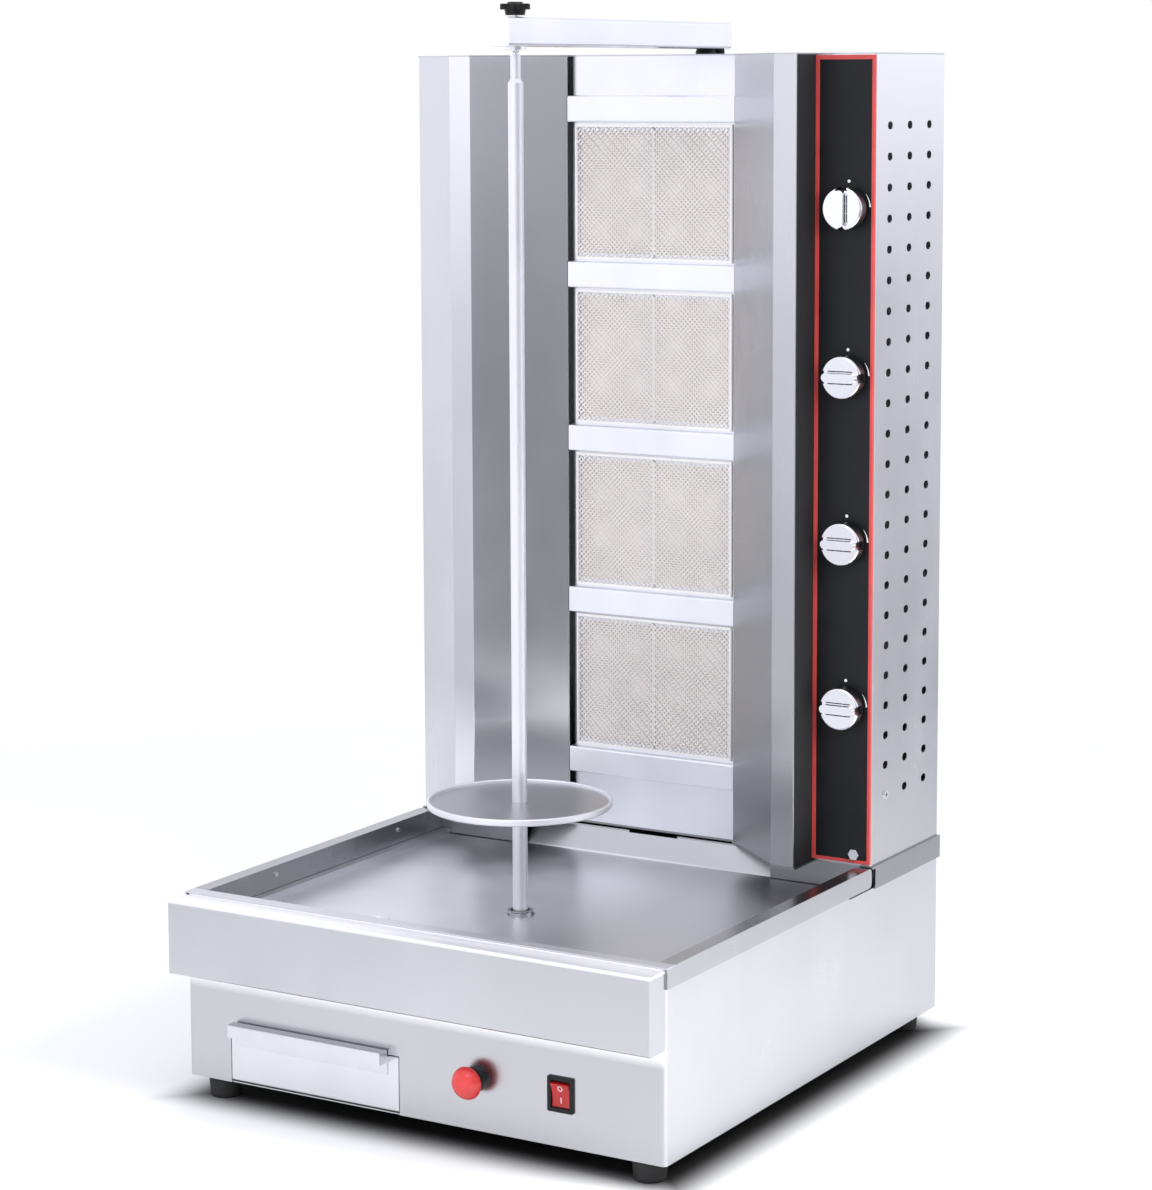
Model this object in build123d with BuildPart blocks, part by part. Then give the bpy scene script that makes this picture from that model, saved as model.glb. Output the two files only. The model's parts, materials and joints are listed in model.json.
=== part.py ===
"""A gas doner kebab grill: a drip tray base with a drawer, and a tower with four ceramic burners
facing an upright motor-driven spit. Millimetres. X is across, Y is front to back, Z is up, and
the origin is on the floor under the middle of the machine."""
import os
from build123d import *

os.makedirs("parts", exist_ok=True)

# Overall sizes
WIDTH = 545.0
DEPTH = 587.0
REAR = 323.4
SHEET = 1.2
FRONT_Y = -DEPTH / 2
BACK_Y = DEPTH / 2
SIDE_X = WIDTH / 2
INNER_X = SIDE_X - SHEET
HALF = SHEET / 2

# Heights of the base
FEET_Z = 22.0
WRAP_TOP = 207.0
RIM_Z = 208.5
BAND_BOTTOM = 188.5
DECK_TOP = 209.0
PAN_Z = 178.0
FLOOR_TOP = FEET_Z + SHEET

# Tower
TOWER_Y = 132.5
TOWER_TOP = 1032.7
COVER_Z = TOWER_TOP - 1.5
TOWER_H = COVER_Z - DECK_TOP
WING_X = 206.0
WING_Y = 90.8
FLANGE_X = 180.0
SPLAY_X, SPLAY_Y = 100.5, 157.0
COLUMN_X = 98.0
COLUMN_Y = 166.0

# Burners
BURNER_Z = [364.9, 539.6, 714.3, 889.0]
BAR_Z = [277.5, 452.2, 626.9, 801.6, 976.3]
BAR_H = 28.0
BAR_Y = 157.4
GUARD_W = 189.0
GUARD_H = 143.0
GUARD_WIRE = 3.0
WINDOW_W = 180.0
WINDOW_H = 130.0
TILE_W = 92.0
TILE_H = 132.0
TILE_T = 12.0

# Controls
KNOB_X = 244.0
KNOB_Z = [373.0, 541.5, 710.0, 878.5]
STRIP_X0, STRIP_X1 = 211.0, 269.0
STRIP_Z0, STRIP_Z1 = 215.0, 1026.0
STRIP_T = 2.0
STRIP_Y = TOWER_Y - STRIP_T
TRIM_Z0, TRIM_Z1 = 211.5, 1030.5
BUTTON_X, BUTTON_Z = 67.0, 72.0
SWITCH_X, SWITCH_Z = 161.5, 72.5
SWITCH_W, SWITCH_H = 28.0, 34.0

# Spit
SPIT_Y = -105.0
ROD_R = 7.5
NECK_R = 5.0
NECK_Z0, NECK_Z1 = 1008.0, 1031.5
PIN_TIP_Z = 1020.0
ROD_Z0 = 168.0
DISC_R = 92.5
DISC_Z = 291.5
ARM_W, ARM_H = 30.0, 28.0
ARM_Z = 1039.0
ARM_Y0, ARM_Y1 = -140.0, 309.0
ARM_T = 1.5

# Drawer
DRAWER_X0, DRAWER_X1 = -219.5, -20.5
DRAWER_TOP = 79.0
DRAWER_GAP = 0.8
BOX_X0, BOX_X1 = -214.5, -25.5
BOX_Y1 = -72.0
BOX_Z0, BOX_Z1 = 26.2, 72.0
DRAWER_T = 1.0

# Running clearance of a shaft in its bore, and the gap left round a fitted tube
RUN = 0.05
EASE = 0.2

# A plane that looks along +Y, with Z up, for what grows backwards
BACKWARD = Plane(origin=(0, 0, 0), x_dir=(-1, 0, 0), z_dir=(0, 1, 0))


def block(xs, ys, zs, mode=Mode.ADD):
    """A box between two X, two Y and two Z values."""
    with Locations(((xs[0] + xs[1]) / 2, (ys[0] + ys[1]) / 2, (zs[0] + zs[1]) / 2)):
        Box(abs(xs[1] - xs[0]), abs(ys[1] - ys[0]), abs(zs[1] - zs[0]), mode=mode)


def upright(x, y, z0, z1, r, mode=Mode.ADD):
    """A cylinder along Z."""
    with Locations((x, y, (z0 + z1) / 2)):
        Cylinder(r, z1 - z0, mode=mode)


def along_y(x, z, y0, y1, r, mode=Mode.ADD):
    """A cylinder along Y."""
    with Locations((x, (y0 + y1) / 2, z)):
        Cylinder(r, y1 - y0, rotation=(90, 0, 0), mode=mode)


def along_x(y, z, x0, x1, r, mode=Mode.ADD):
    """A cylinder along X."""
    with Locations(((x0 + x1) / 2, y, z)):
        Cylinder(r, abs(x1 - x0), rotation=(0, 90, 0), mode=mode)


def folded(plane, points, bend, length, thick=SHEET, mode=Mode.ADD):
    """Bent sheet: the line through the middle of its thickness, drawn out square to the plane."""
    with BuildSketch(plane) as profile:
        with BuildLine():
            FilletPolyline(*points, radius=bend)
        trace(line_width=thick)
    extrude(profile.sketch, amount=length, mode=mode)


def outline(plane, points, length, mode=Mode.ADD):
    """A flat plate of the given corners."""
    with BuildSketch(plane) as profile:
        with BuildLine():
            Polyline(*points, close=True)
        make_face()
    extrude(profile.sketch, amount=length, mode=mode)


def turned(x, y, points, mode=Mode.ADD):
    """A turned piece on an upright axis, from radius and height pairs."""
    with BuildSketch(Plane(origin=(x, y, 0), x_dir=(1, 0, 0), z_dir=(0, -1, 0))) as profile:
        with BuildLine():
            Polyline(*points, close=True)
        make_face()
    revolve(profile.sketch, axis=Axis((x, y, 0), (0, 0, 1)), mode=mode)


def pipe(points, bend, r, mode=Mode.ADD):
    """A round pipe along straight runs with rounded corners."""
    with BuildLine() as path:
        FilletPolyline(*points, radius=bend)
    with BuildSketch(Plane(origin=path.line @ 0, z_dir=path.line % 0)) as end:
        Circle(r)
    sweep(end.sketch, path=path.line, mode=mode)


# Base wrap: front and both sides bent from one sheet, open at the back, notched beside the tower
GAP_Y0, GAP_Y1 = 131.6, 139.0
with BuildPart() as base_wrap:
    wrap_x, wrap_y = SIDE_X - HALF, FRONT_Y + HALF
    corners = [(-wrap_x, BACK_Y), (-wrap_x, wrap_y), (wrap_x, wrap_y), (wrap_x, BACK_Y)]
    folded(Plane.XY.offset(FEET_Z), corners, 4.0, WRAP_TOP - FEET_Z)
    block(
        (DRAWER_X0 - DRAWER_GAP, DRAWER_X1 + DRAWER_GAP),
        (FRONT_Y - 1, FRONT_Y + SHEET + 1),
        (FEET_Z - 1, DRAWER_TOP + DRAWER_GAP),
        Mode.SUBTRACT,
    )
    along_y(BUTTON_X, BUTTON_Z, FRONT_Y - 1, FRONT_Y + SHEET + 1, 11.2, Mode.SUBTRACT)
    block(
        (SWITCH_X - 12.2, SWITCH_X + 12.2),
        (FRONT_Y - 1, FRONT_Y + SHEET + 1),
        (SWITCH_Z - 15.2, SWITCH_Z + 15.2),
        Mode.SUBTRACT,
    )
    for x in (-SIDE_X - 1, SIDE_X - 2):
        block((x, x + 3), (GAP_Y0, GAP_Y1), (BAND_BOTTOM - 2.5, WRAP_TOP + 1), Mode.SUBTRACT)
        block((x, x + 3), (GAP_Y0 - 48, GAP_Y1), (BAND_BOTTOM - 2.5, BAND_BOTTOM - 0.3), Mode.SUBTRACT)
base_wrap.part.label = "base_wrap"
export_step(base_wrap.part, "parts/base_wrap.step")

# Base floor: bottom sheet with cooling slots under the motor
with BuildPart() as base_floor:
    block((-INNER_X, INNER_X), (FRONT_Y + SHEET, BACK_Y - SHEET), (FEET_Z, FLOOR_TOP))
    fillet(base_floor.edges().filter_by(Axis.Z).group_by(Axis.Y)[0], 4.0)
    with BuildSketch(Plane.XY.offset(FEET_Z)) as slots:
        with Locations((120, -105)):
            with GridLocations(16, 90, 8, 2):
                SlotOverall(70, 6, rotation=90)
    extrude(slots.sketch, amount=SHEET, mode=Mode.SUBTRACT)
base_floor.part.label = "base_floor"
export_step(base_floor.part, "parts/base_floor.step")

# Base back: lower rear panel with its vent slots and the hole of the cable gland
GLAND_X, GLAND_Z = -200.0, 62.0
with BuildPart() as base_back:
    block((-INNER_X, INNER_X), (BACK_Y - SHEET, BACK_Y), (FLOOR_TOP, WRAP_TOP))
    with BuildSketch(BACKWARD.offset(BACK_Y - SHEET)) as slots:
        with Locations((0, 110)):
            with GridLocations(100, 16, 3, 5):
                SlotOverall(80, 5)
    extrude(slots.sketch, amount=SHEET, mode=Mode.SUBTRACT)
    along_y(GLAND_X, GLAND_Z, BACK_Y - 3, BACK_Y + 1, 8.2, Mode.SUBTRACT)
base_back.part.label = "base_back"
export_step(base_back.part, "parts/base_back.step")

# Tray frame: side bands, flat rim, inner walls and the ledge that carries the pan
BAND_X = SIDE_X + 2.0
RIM_X = 258.0
RIM_Y = -279.0
BAND_END_Y = 131.0
BAND_ROUND = 5.0
WALL_END_Y = 145.6
LEDGE = 8.0
LEDGE_Z = PAN_Z + 5.3
with BuildPart() as tray_frame:
    rim_end = BAND_END_Y - BAND_ROUND
    rim = [
        (-BAND_X, rim_end), (-BAND_X, FRONT_Y), (BAND_X, FRONT_Y), (BAND_X, rim_end),
        (RIM_X, rim_end), (RIM_X, RIM_Y), (-RIM_X, RIM_Y), (-RIM_X, rim_end),
    ]
    outline(Plane.XY.offset(WRAP_TOP), rim, RIM_Z - WRAP_TOP)
    for x in (-BAND_X, SIDE_X):
        with BuildSketch(Plane.YZ.offset(x)) as band:
            with Locations(((FRONT_Y + BAND_END_Y) / 2, (BAND_BOTTOM + RIM_Z) / 2)):
                Rectangle(BAND_END_Y - FRONT_Y, RIM_Z - BAND_BOTTOM)
            fillet(band.vertices().group_by(Axis.X)[-1], BAND_ROUND)
        extrude(band.sketch, amount=BAND_X - SIDE_X)
    inner = [
        (-RIM_X - HALF, WALL_END_Y), (-RIM_X - HALF, RIM_Y - HALF),
        (RIM_X + HALF, RIM_Y - HALF), (RIM_X + HALF, WALL_END_Y),
    ]
    folded(Plane.XY.offset(LEDGE_Z - SHEET), inner, 3.0, WRAP_TOP - LEDGE_Z + SHEET)
    ledge = [
        (-RIM_X - HALF, WALL_END_Y), (-RIM_X - HALF, RIM_Y - HALF),
        (RIM_X + HALF, RIM_Y - HALF), (RIM_X + HALF, WALL_END_Y),
        (RIM_X - LEDGE, WALL_END_Y), (RIM_X - LEDGE, RIM_Y + LEDGE),
        (-RIM_X + LEDGE, RIM_Y + LEDGE), (-RIM_X + LEDGE, WALL_END_Y),
    ]
    outline(Plane.XY.offset(LEDGE_Z - SHEET), ledge, SHEET)
tray_frame.part.label = "tray_frame"
export_step(tray_frame.part, "parts/tray_frame.step")

# Front apron: a deep folded box across the front of the tray
APRON_Y = -REAR
APRON_Z0, APRON_Z1 = 131.8, 206.5
APRON_LIP = 9.0
with BuildPart() as front_apron:
    lip = [
        (FRONT_Y - HALF, APRON_Z0 + 20), (FRONT_Y - HALF, APRON_Z0 + HALF),
        (APRON_Y + HALF, APRON_Z0 + HALF), (APRON_Y + HALF, APRON_Z1 - HALF),
        (FRONT_Y - HALF, APRON_Z1 - HALF), (FRONT_Y - HALF, APRON_Z1 - 20),
    ]
    folded(Plane.YZ.offset(-SIDE_X), lip, 3.0, WIDTH)
    for x in (-SIDE_X, INNER_X):
        with BuildSketch(Plane.YZ.offset(x)) as cap:
            with Locations(((APRON_Y + FRONT_Y) / 2, (APRON_Z0 + APRON_Z1) / 2)):
                RectangleRounded(FRONT_Y - APRON_Y, APRON_Z1 - APRON_Z0, 2.9)
        extrude(cap.sketch, amount=SHEET)
front_apron.part.label = "front_apron"
export_step(front_apron.part, "parts/front_apron.step")

# Drip pan: shallow dish hung by its flange, with a drain hole and a tail that slopes up under the burners
PAN_X = RIM_X - 0.6
PAN_Y0 = RIM_Y + 0.6
DISH_X = PAN_X - 9.0
DISH_Y0 = PAN_Y0 + 9.0
PAN_Y1 = 150.0
PAN_SIDE_Y1 = 145.4
TAIL_X = 150.0
DRAIN_X, DRAIN_Y = -108.0, -204.0
with BuildPart() as drip_pan:
    block((-DISH_X, DISH_X), (DISH_Y0, PAN_Y1), (PAN_Z, PAN_Z + SHEET))
    fillet(drip_pan.edges().filter_by(Axis.Z).group_by(Axis.Y)[0], 3.0 + HALF)
    side_line = [
        (-DISH_X + HALF, PAN_SIDE_Y1), (-DISH_X + HALF, DISH_Y0 + HALF),
        (DISH_X - HALF, DISH_Y0 + HALF), (DISH_X - HALF, PAN_SIDE_Y1),
    ]
    folded(Plane.XY.offset(PAN_Z), side_line, 3.0, LEDGE_Z + SHEET - PAN_Z)
    flange = [
        (-PAN_X, PAN_SIDE_Y1), (-PAN_X, PAN_Y0 + 3), (-PAN_X + 3, PAN_Y0), (PAN_X - 3, PAN_Y0),
        (PAN_X, PAN_Y0 + 3), (PAN_X, PAN_SIDE_Y1), (DISH_X - HALF, PAN_SIDE_Y1), (DISH_X - HALF, DISH_Y0 + 3),
        (DISH_X - 3, DISH_Y0 + HALF), (-DISH_X + 3, DISH_Y0 + HALF), (-DISH_X + HALF, DISH_Y0 + 3),
        (-DISH_X + HALF, PAN_SIDE_Y1),
    ]
    outline(Plane.XY.offset(LEDGE_Z), flange, SHEET)
    tail = [(PAN_Y1 - 4, PAN_Z + HALF), (PAN_Y1, PAN_Z + HALF), (164.4, 203.0), (164.4, 205.0)]
    folded(Plane.YZ.offset(-TAIL_X), tail, 1.0, 2 * TAIL_X)
    block((-29.5, 29.5), (158, 168), (202.6, 206), Mode.SUBTRACT)
    upright(DRAIN_X, DRAIN_Y, PAN_Z - 1, PAN_Z + 3, 6.0, Mode.SUBTRACT)
    upright(0, SPIT_Y, PAN_Z - 1, PAN_Z + 3, 12.2, Mode.SUBTRACT)
drip_pan.part.label = "drip_pan"
export_step(drip_pan.part, "parts/drip_pan.step")

# Drain spout: short tube from the pan's hole down towards the drawer
with BuildPart() as drain_spout:
    turned(DRAIN_X, DRAIN_Y, [(6, PAN_Z), (13, PAN_Z), (13, PAN_Z - 2), (7.5, PAN_Z - 5), (7.5, 148), (6, 148)])
drain_spout.part.label = "drain_spout"
export_step(drain_spout.part, "parts/drain_spout.step")

# Spindle collar: bearing bush that seals the drive spindle in the pan, with a low ring on top
SPINDLE_R = 10.0
with BuildPart() as spindle_collar:
    bore = SPINDLE_R + RUN
    top = PAN_Z + SHEET
    ring = [(bore, 160.0), (12.0, 160.0), (12.0, top), (15.0, top), (14.2, top + 3.2), (13.2, top + 4.0), (bore, top + 4.0)]
    turned(0, SPIT_Y, ring)
spindle_collar.part.label = "spindle_collar"
export_step(spindle_collar.part, "parts/spindle_collar.step")

# Motor bracket: bent strap hung under the pan
BRACKET_X = 62.0
BRACKET_Z = 158.0
BRACKET_Y0, BRACKET_Y1 = SPIT_Y - 42, SPIT_Y + 42
with BuildPart() as motor_bracket:
    strap = [
        (-BRACKET_X - 20, PAN_Z - 1), (-BRACKET_X, PAN_Z - 1), (-BRACKET_X, BRACKET_Z + 1),
        (BRACKET_X, BRACKET_Z + 1), (BRACKET_X, PAN_Z - 1), (BRACKET_X + 20, PAN_Z - 1),
    ]
    folded(Plane.XZ.offset(-BRACKET_Y1), strap, 3.0, BRACKET_Y1 - BRACKET_Y0, 2.0)
    upright(0, SPIT_Y, BRACKET_Z - 1, BRACKET_Z + 4, 14.0, Mode.SUBTRACT)
motor_bracket.part.label = "motor_bracket"
export_step(motor_bracket.part, "parts/motor_bracket.step")

# Gearbox: die-cast box under the bracket, with the bore of its output
GEAR_Z0 = 118.0
SHAFT_R = 6.0
with BuildPart() as gearbox:
    with BuildSketch(Plane.XY.offset(GEAR_Z0)) as case:
        with Locations((0, SPIT_Y)):
            RectangleRounded(80, 80, 12)
    extrude(case.sketch, amount=BRACKET_Z - GEAR_Z0)
    fillet(gearbox.edges().group_by(Axis.Z)[-1], 3.0)
    upright(0, SPIT_Y, 128, BRACKET_Z + 1, SHAFT_R + RUN, Mode.SUBTRACT)
gearbox.part.label = "gearbox"
export_step(gearbox.part, "parts/gearbox.step")

# Motor: flat synchronous motor below the gearbox
with BuildPart() as drive_motor:
    motor = [(0, 84), (27, 84), (31, 88), (31, GEAR_Z0 - 4), (27, GEAR_Z0 - 4), (27, GEAR_Z0), (0, GEAR_Z0)]
    turned(0, SPIT_Y, motor)
drive_motor.part.label = "drive_motor"
export_step(drive_motor.part, "parts/drive_motor.step")

# Drawer runners: two angle rails on the floor
with BuildPart() as drawer_runners:
    for x, inward in ((DRAWER_X0 - 2.5, 1), (DRAWER_X1 + 2.5, -1)):
        rail = [(x, 60.0), (x, FLOOR_TOP + HALF), (x + inward * 14, FLOOR_TOP + HALF)]
        folded(Plane.XZ.offset(60), rail, 1.5, -FRONT_Y - 72)
drawer_runners.part.label = "drawer_runners"
export_step(drawer_runners.part, "parts/drawer_runners.step")

# Feet: four tapered rubber feet
FOOT_X, FOOT_Y = 244.0, 272.0
with BuildPart() as feet:
    for x in (-FOOT_X, FOOT_X):
        for y in (-FOOT_Y, FOOT_Y):
            turned(x, y, [(0, 0), (14, 0), (15.5, 2), (17, FEET_Z), (0, FEET_Z)])
feet.part.label = "feet"
export_step(feet.part, "parts/feet.step")

# Tower base: deck sheet that carries the tower, its band, and the two walls that end the pan
TB_X = SIDE_X + 2.5
TB_Y0, TB_Y1 = 131.6, BACK_Y + 3.0
TB_BOTTOM = 185.5
with BuildPart() as tower_base:
    deck = [
        (-TB_X, TB_Y1), (-TB_X, TB_Y0), (-WING_X - 1.5, TB_Y0), (-WING_X - 1.5, WING_Y - 1.3),
        (-FLANGE_X + 1.0, WING_Y - 1.3), (-SPLAY_X + 1.0, SPLAY_Y - 0.8), (-SPLAY_X + 1.0, COLUMN_Y - 0.8),
        (SPLAY_X - 1.0, COLUMN_Y - 0.8), (SPLAY_X - 1.0, SPLAY_Y - 0.8), (FLANGE_X - 1.0, WING_Y - 1.3),
        (WING_X + 1.5, WING_Y - 1.3), (WING_X + 1.5, TB_Y0), (TB_X, TB_Y0), (TB_X, TB_Y1),
    ]
    outline(Plane.XY.offset(WRAP_TOP), deck, DECK_TOP - WRAP_TOP)
    block((-TB_X, TB_X), (GAP_Y1, TB_Y1), (TB_BOTTOM, WRAP_TOP))
    block((-SIDE_X, SIDE_X), (GAP_Y1 - 1, BACK_Y), (TB_BOTTOM - 1, WRAP_TOP), Mode.SUBTRACT)
    for side in (-1, 1):
        block((side * (TAIL_X + 0.6), side * (RIM_X - 0.2)), (WALL_END_Y + 0.2, WALL_END_Y + 1.4), (PAN_Z + 2, WRAP_TOP))
    block((-150, 190), (196, 280), (WRAP_TOP - 1, DECK_TOP + 1), Mode.SUBTRACT)
tower_base.part.label = "tower_base"
export_step(tower_base.part, "parts/tower_base.step")

# Tower sides: each a sheet with its front wall, and three columns of short cooling slots
HOLE_L, HOLE_H = 11.0, 8.0
HOLE_Y = [165.0, 211.4, 257.8]
HOLE_PITCH = 31.0
HOLE_TOP = 960.4
HOLE_ROWS = 23
SCREW_Z = HOLE_TOP - (HOLE_ROWS - 1) * HOLE_PITCH


def tower_side(side):
    """One side sheet of the tower, right for 1 and left for -1."""
    line = [(side * WING_X, TOWER_Y + HALF), (side * (SIDE_X - HALF), TOWER_Y + HALF)]
    line.append((side * (SIDE_X - HALF), BACK_Y))
    folded(Plane.XY.offset(DECK_TOP), line, 2.0, TOWER_H)
    with BuildSketch(Plane.YZ.offset(side * SIDE_X)) as holes:
        for i in range(HOLE_ROWS):
            for y in HOLE_Y:
                if i < HOLE_ROWS - 1 or y != HOLE_Y[0]:
                    with Locations((y, HOLE_TOP - i * HOLE_PITCH)):
                        SlotOverall(HOLE_L, HOLE_H)
    extrude(holes.sketch, amount=2 * SHEET, both=True, mode=Mode.SUBTRACT)


with BuildPart() as tower_side_left:
    tower_side(-1)
tower_side_left.part.label = "tower_side_left"
export_step(tower_side_left.part, "parts/tower_side_left.step")

with BuildPart() as tower_side_right:
    tower_side(1)
    for z in KNOB_Z:
        along_y(KNOB_X, z, TOWER_Y - 1, TOWER_Y + 3, 7.0, Mode.SUBTRACT)
tower_side_right.part.label = "tower_side_right"
export_step(tower_side_right.part, "parts/tower_side_right.step")

# Tower back: rear panel with rows of vent slots and the hole of the gas inlet
INLET_X, INLET_Z = 244.0, 240.0
INLET_R = 10.5
with BuildPart() as tower_back:
    block((-INNER_X, INNER_X), (BACK_Y - SHEET, BACK_Y), (DECK_TOP, COVER_Z))
    with BuildSketch(BACKWARD.offset(BACK_Y - SHEET)) as slots:
        for z in BURNER_Z:
            with Locations((0, z)):
                with GridLocations(110, 18, 3, 5):
                    SlotOverall(90, 6)
    extrude(slots.sketch, amount=SHEET, mode=Mode.SUBTRACT)
    along_y(INLET_X, INLET_Z, BACK_Y - 3, BACK_Y + 1, INLET_R + 0.5, Mode.SUBTRACT)
tower_back.part.label = "tower_back"
export_step(tower_back.part, "parts/tower_back.step")

# Tower top: cover over the tower and both wings, turned down behind
with BuildPart() as tower_top:
    cover = [
        (-SIDE_X, BACK_Y), (-SIDE_X, TOWER_Y), (-WING_X, TOWER_Y), (-WING_X, WING_Y),
        (-FLANGE_X, WING_Y), (-SPLAY_X, SPLAY_Y), (-SPLAY_X, COLUMN_Y), (SPLAY_X, COLUMN_Y),
        (SPLAY_X, SPLAY_Y), (FLANGE_X, WING_Y), (WING_X, WING_Y), (WING_X, TOWER_Y), (SIDE_X, TOWER_Y), (SIDE_X, BACK_Y),
    ]
    outline(Plane.XY.offset(COVER_Z), cover, TOWER_TOP - COVER_Z)
    with BuildSketch(Plane.XY.offset(COVER_Z)) as slots:
        with Locations((0, 236)):
            with GridLocations(300, 16, 2, 5):
                SlotOverall(140, 6)
    extrude(slots.sketch, amount=TOWER_TOP - COVER_Z, mode=Mode.SUBTRACT)
tower_top.part.label = "tower_top"
export_step(tower_top.part, "parts/tower_top.step")


def wing(side):
    """One polished reflector: return, front flange and the face splayed towards the spit."""
    line = [
        (side * (WING_X - HALF), TOWER_Y + SHEET), (side * (WING_X - HALF), WING_Y + HALF),
        (side * (FLANGE_X + 0.22), WING_Y + HALF), (side * 96.0, 161.53),
    ]
    folded(Plane.XY.offset(DECK_TOP), line, 1.5, TOWER_H)
    block((side * 80, side * SPLAY_X), (150, 180), (DECK_TOP - 1, COVER_Z + 1), Mode.SUBTRACT)


with BuildPart() as wing_left:
    wing(-1)
wing_left.part.label = "wing_left"
export_step(wing_left.part, "parts/wing_left.step")

with BuildPart() as wing_right:
    wing(1)
wing_right.part.label = "wing_right"
export_step(wing_right.part, "parts/wing_right.step")

# Column panel: sheet between the wings with one window for each burner
with BuildPart() as column_panel:
    block((-COLUMN_X, COLUMN_X), (COLUMN_Y, COLUMN_Y + SHEET), (DECK_TOP, COVER_Z))
    with BuildSketch(BACKWARD.offset(COLUMN_Y)) as windows:
        with Locations(*[(0, z) for z in BURNER_Z]):
            RectangleRounded(WINDOW_W, WINDOW_H, 4)
    extrude(windows.sketch, amount=SHEET, mode=Mode.SUBTRACT)
column_panel.part.label = "column_panel"
export_step(column_panel.part, "parts/column_panel.step")

# Cross bars: five channels between the wings, deep enough to stand proud of the burner guards
BAR_X = 100.0
with BuildPart() as cross_bars:
    for z in BAR_Z:
        z0, z1 = z - BAR_H / 2 + HALF, z + BAR_H / 2 - HALF
        front = BAR_Y + HALF
        channel = [(COLUMN_Y, z0), (front, z0), (front, z1), (COLUMN_Y, z1)]
        folded(Plane.YZ.offset(-BAR_X), channel, 1.5, 2 * BAR_X)
cross_bars.part.label = "cross_bars"
export_step(cross_bars.part, "parts/cross_bars.step")

# Burner guards: a wire frame, a middle wire and a diamond mesh before each burner
MESH_PITCH = 32.0
MESH_HOLE = 20.5
with BuildPart() as burner_guards:
    for z in BURNER_Z:
        with BuildSketch(Plane.XZ.offset(-COLUMN_Y)) as frame:
            with Locations((0, z)):
                RectangleRounded(GUARD_W, GUARD_H, 5)
                RectangleRounded(GUARD_W - 2 * GUARD_WIRE, GUARD_H - 2 * GUARD_WIRE, 3, mode=Mode.SUBTRACT)
                Rectangle(GUARD_WIRE, GUARD_H - GUARD_WIRE)
        extrude(frame.sketch, amount=GUARD_WIRE)
        with BuildSketch(Plane.XZ.offset(-COLUMN_Y)) as mesh:
            with Locations((0, z)):
                Rectangle(GUARD_W - GUARD_WIRE, GUARD_H - GUARD_WIRE)
                with GridLocations(MESH_PITCH, MESH_PITCH, 6, 4):
                    RegularPolygon(MESH_HOLE / 2 * 1.4, 4, mode=Mode.SUBTRACT)
                with GridLocations(MESH_PITCH, MESH_PITCH, 5, 3):
                    RegularPolygon(MESH_HOLE / 2 * 1.4, 4, mode=Mode.SUBTRACT)
        extrude(mesh.sketch, amount=0.8)
burner_guards.part.label = "burner_guards"
export_step(burner_guards.part, "parts/burner_guards.step")

# Ceramic tiles: two side by side in each burner
with BuildPart() as ceramic_tiles:
    tile_y = COLUMN_Y + SHEET + TILE_T / 2
    for z in BURNER_Z:
        with Locations((-TILE_W / 2 - 0.5, tile_y, z), (TILE_W / 2 + 0.5, tile_y, z)):
            Box(TILE_W, TILE_T, TILE_H)
ceramic_tiles.part.label = "ceramic_tiles"
export_step(ceramic_tiles.part, "parts/ceramic_tiles.step")

# Burner housings: tapered gas boxes behind the tiles, each with its mixing tube
MIX_Y = 182.0
MIX_X = 166.0
with BuildPart() as burner_housings:
    for z in BURNER_Z:
        with BuildSketch(BACKWARD.offset(COLUMN_Y + SHEET)) as outside:
            with Locations((0, z)):
                RectangleRounded(200, 142, 6)
        extrude(outside.sketch, amount=34, taper=14)
        along_x(MIX_Y, z, 90, MIX_X, 11.0)
        with Locations(((MIX_X + 5), MIX_Y, z)):
            Cone(11.0, 16.0, 10.0, rotation=(0, 90, 0))
        with BuildSketch(BACKWARD.offset(COLUMN_Y + SHEET)) as inside:
            with Locations((0, z)):
                RectangleRounded(190, 136, 3)
        extrude(inside.sketch, amount=TILE_T, mode=Mode.SUBTRACT)
        with BuildSketch(BACKWARD.offset(COLUMN_Y + SHEET + TILE_T)) as plenum:
            with Locations((0, z)):
                Rectangle(178, 122)
        extrude(plenum.sketch, amount=18, taper=14, mode=Mode.SUBTRACT)
        along_x(MIX_Y + 4, z, 80, MIX_X + 11, 6.5, Mode.SUBTRACT)
burner_housings.part.label = "burner_housings"
export_step(burner_housings.part, "parts/burner_housings.step")

# Gas manifold: square upright tube behind the valves, closed at both ends
PIPE_X0, PIPE_X1 = KNOB_X - 10, KNOB_X + 10
PIPE_Y0, PIPE_Y1 = 178.0, 198.0
with BuildPart() as gas_manifold:
    with BuildSketch(Plane.XY.offset(DECK_TOP)) as tube:
        with Locations((KNOB_X, (PIPE_Y0 + PIPE_Y1) / 2)):
            RectangleRounded(20, 20, 2)
    extrude(tube.sketch, amount=720)
    block((PIPE_X0 + 2, PIPE_X1 - 2), (PIPE_Y0 + 2, PIPE_Y1 - 2), (DECK_TOP + 2, DECK_TOP + 718), Mode.SUBTRACT)
gas_manifold.part.label = "gas_manifold"
export_step(gas_manifold.part, "parts/gas_manifold.step")

# Gas valves: a cock behind each knob, seated on the manifold
STEM_R = 4.0
STEM_END = 156.0
with BuildPart() as gas_valves:
    for z in KNOB_Z:
        block((KNOB_X - 15, KNOB_X + 15), (TOWER_Y + SHEET, 168), (z - 14, z + 14))
        along_y(KNOB_X, z, 167, PIPE_Y0, 8.0)
    fillet(gas_valves.edges().filter_by(Axis.Y), 3.0)
    for z in KNOB_Z:
        along_y(KNOB_X, z, TOWER_Y, STEM_END + 2, STEM_R + RUN, Mode.SUBTRACT)
gas_valves.part.label = "gas_valves"
export_step(gas_valves.part, "parts/gas_valves.step")

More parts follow.
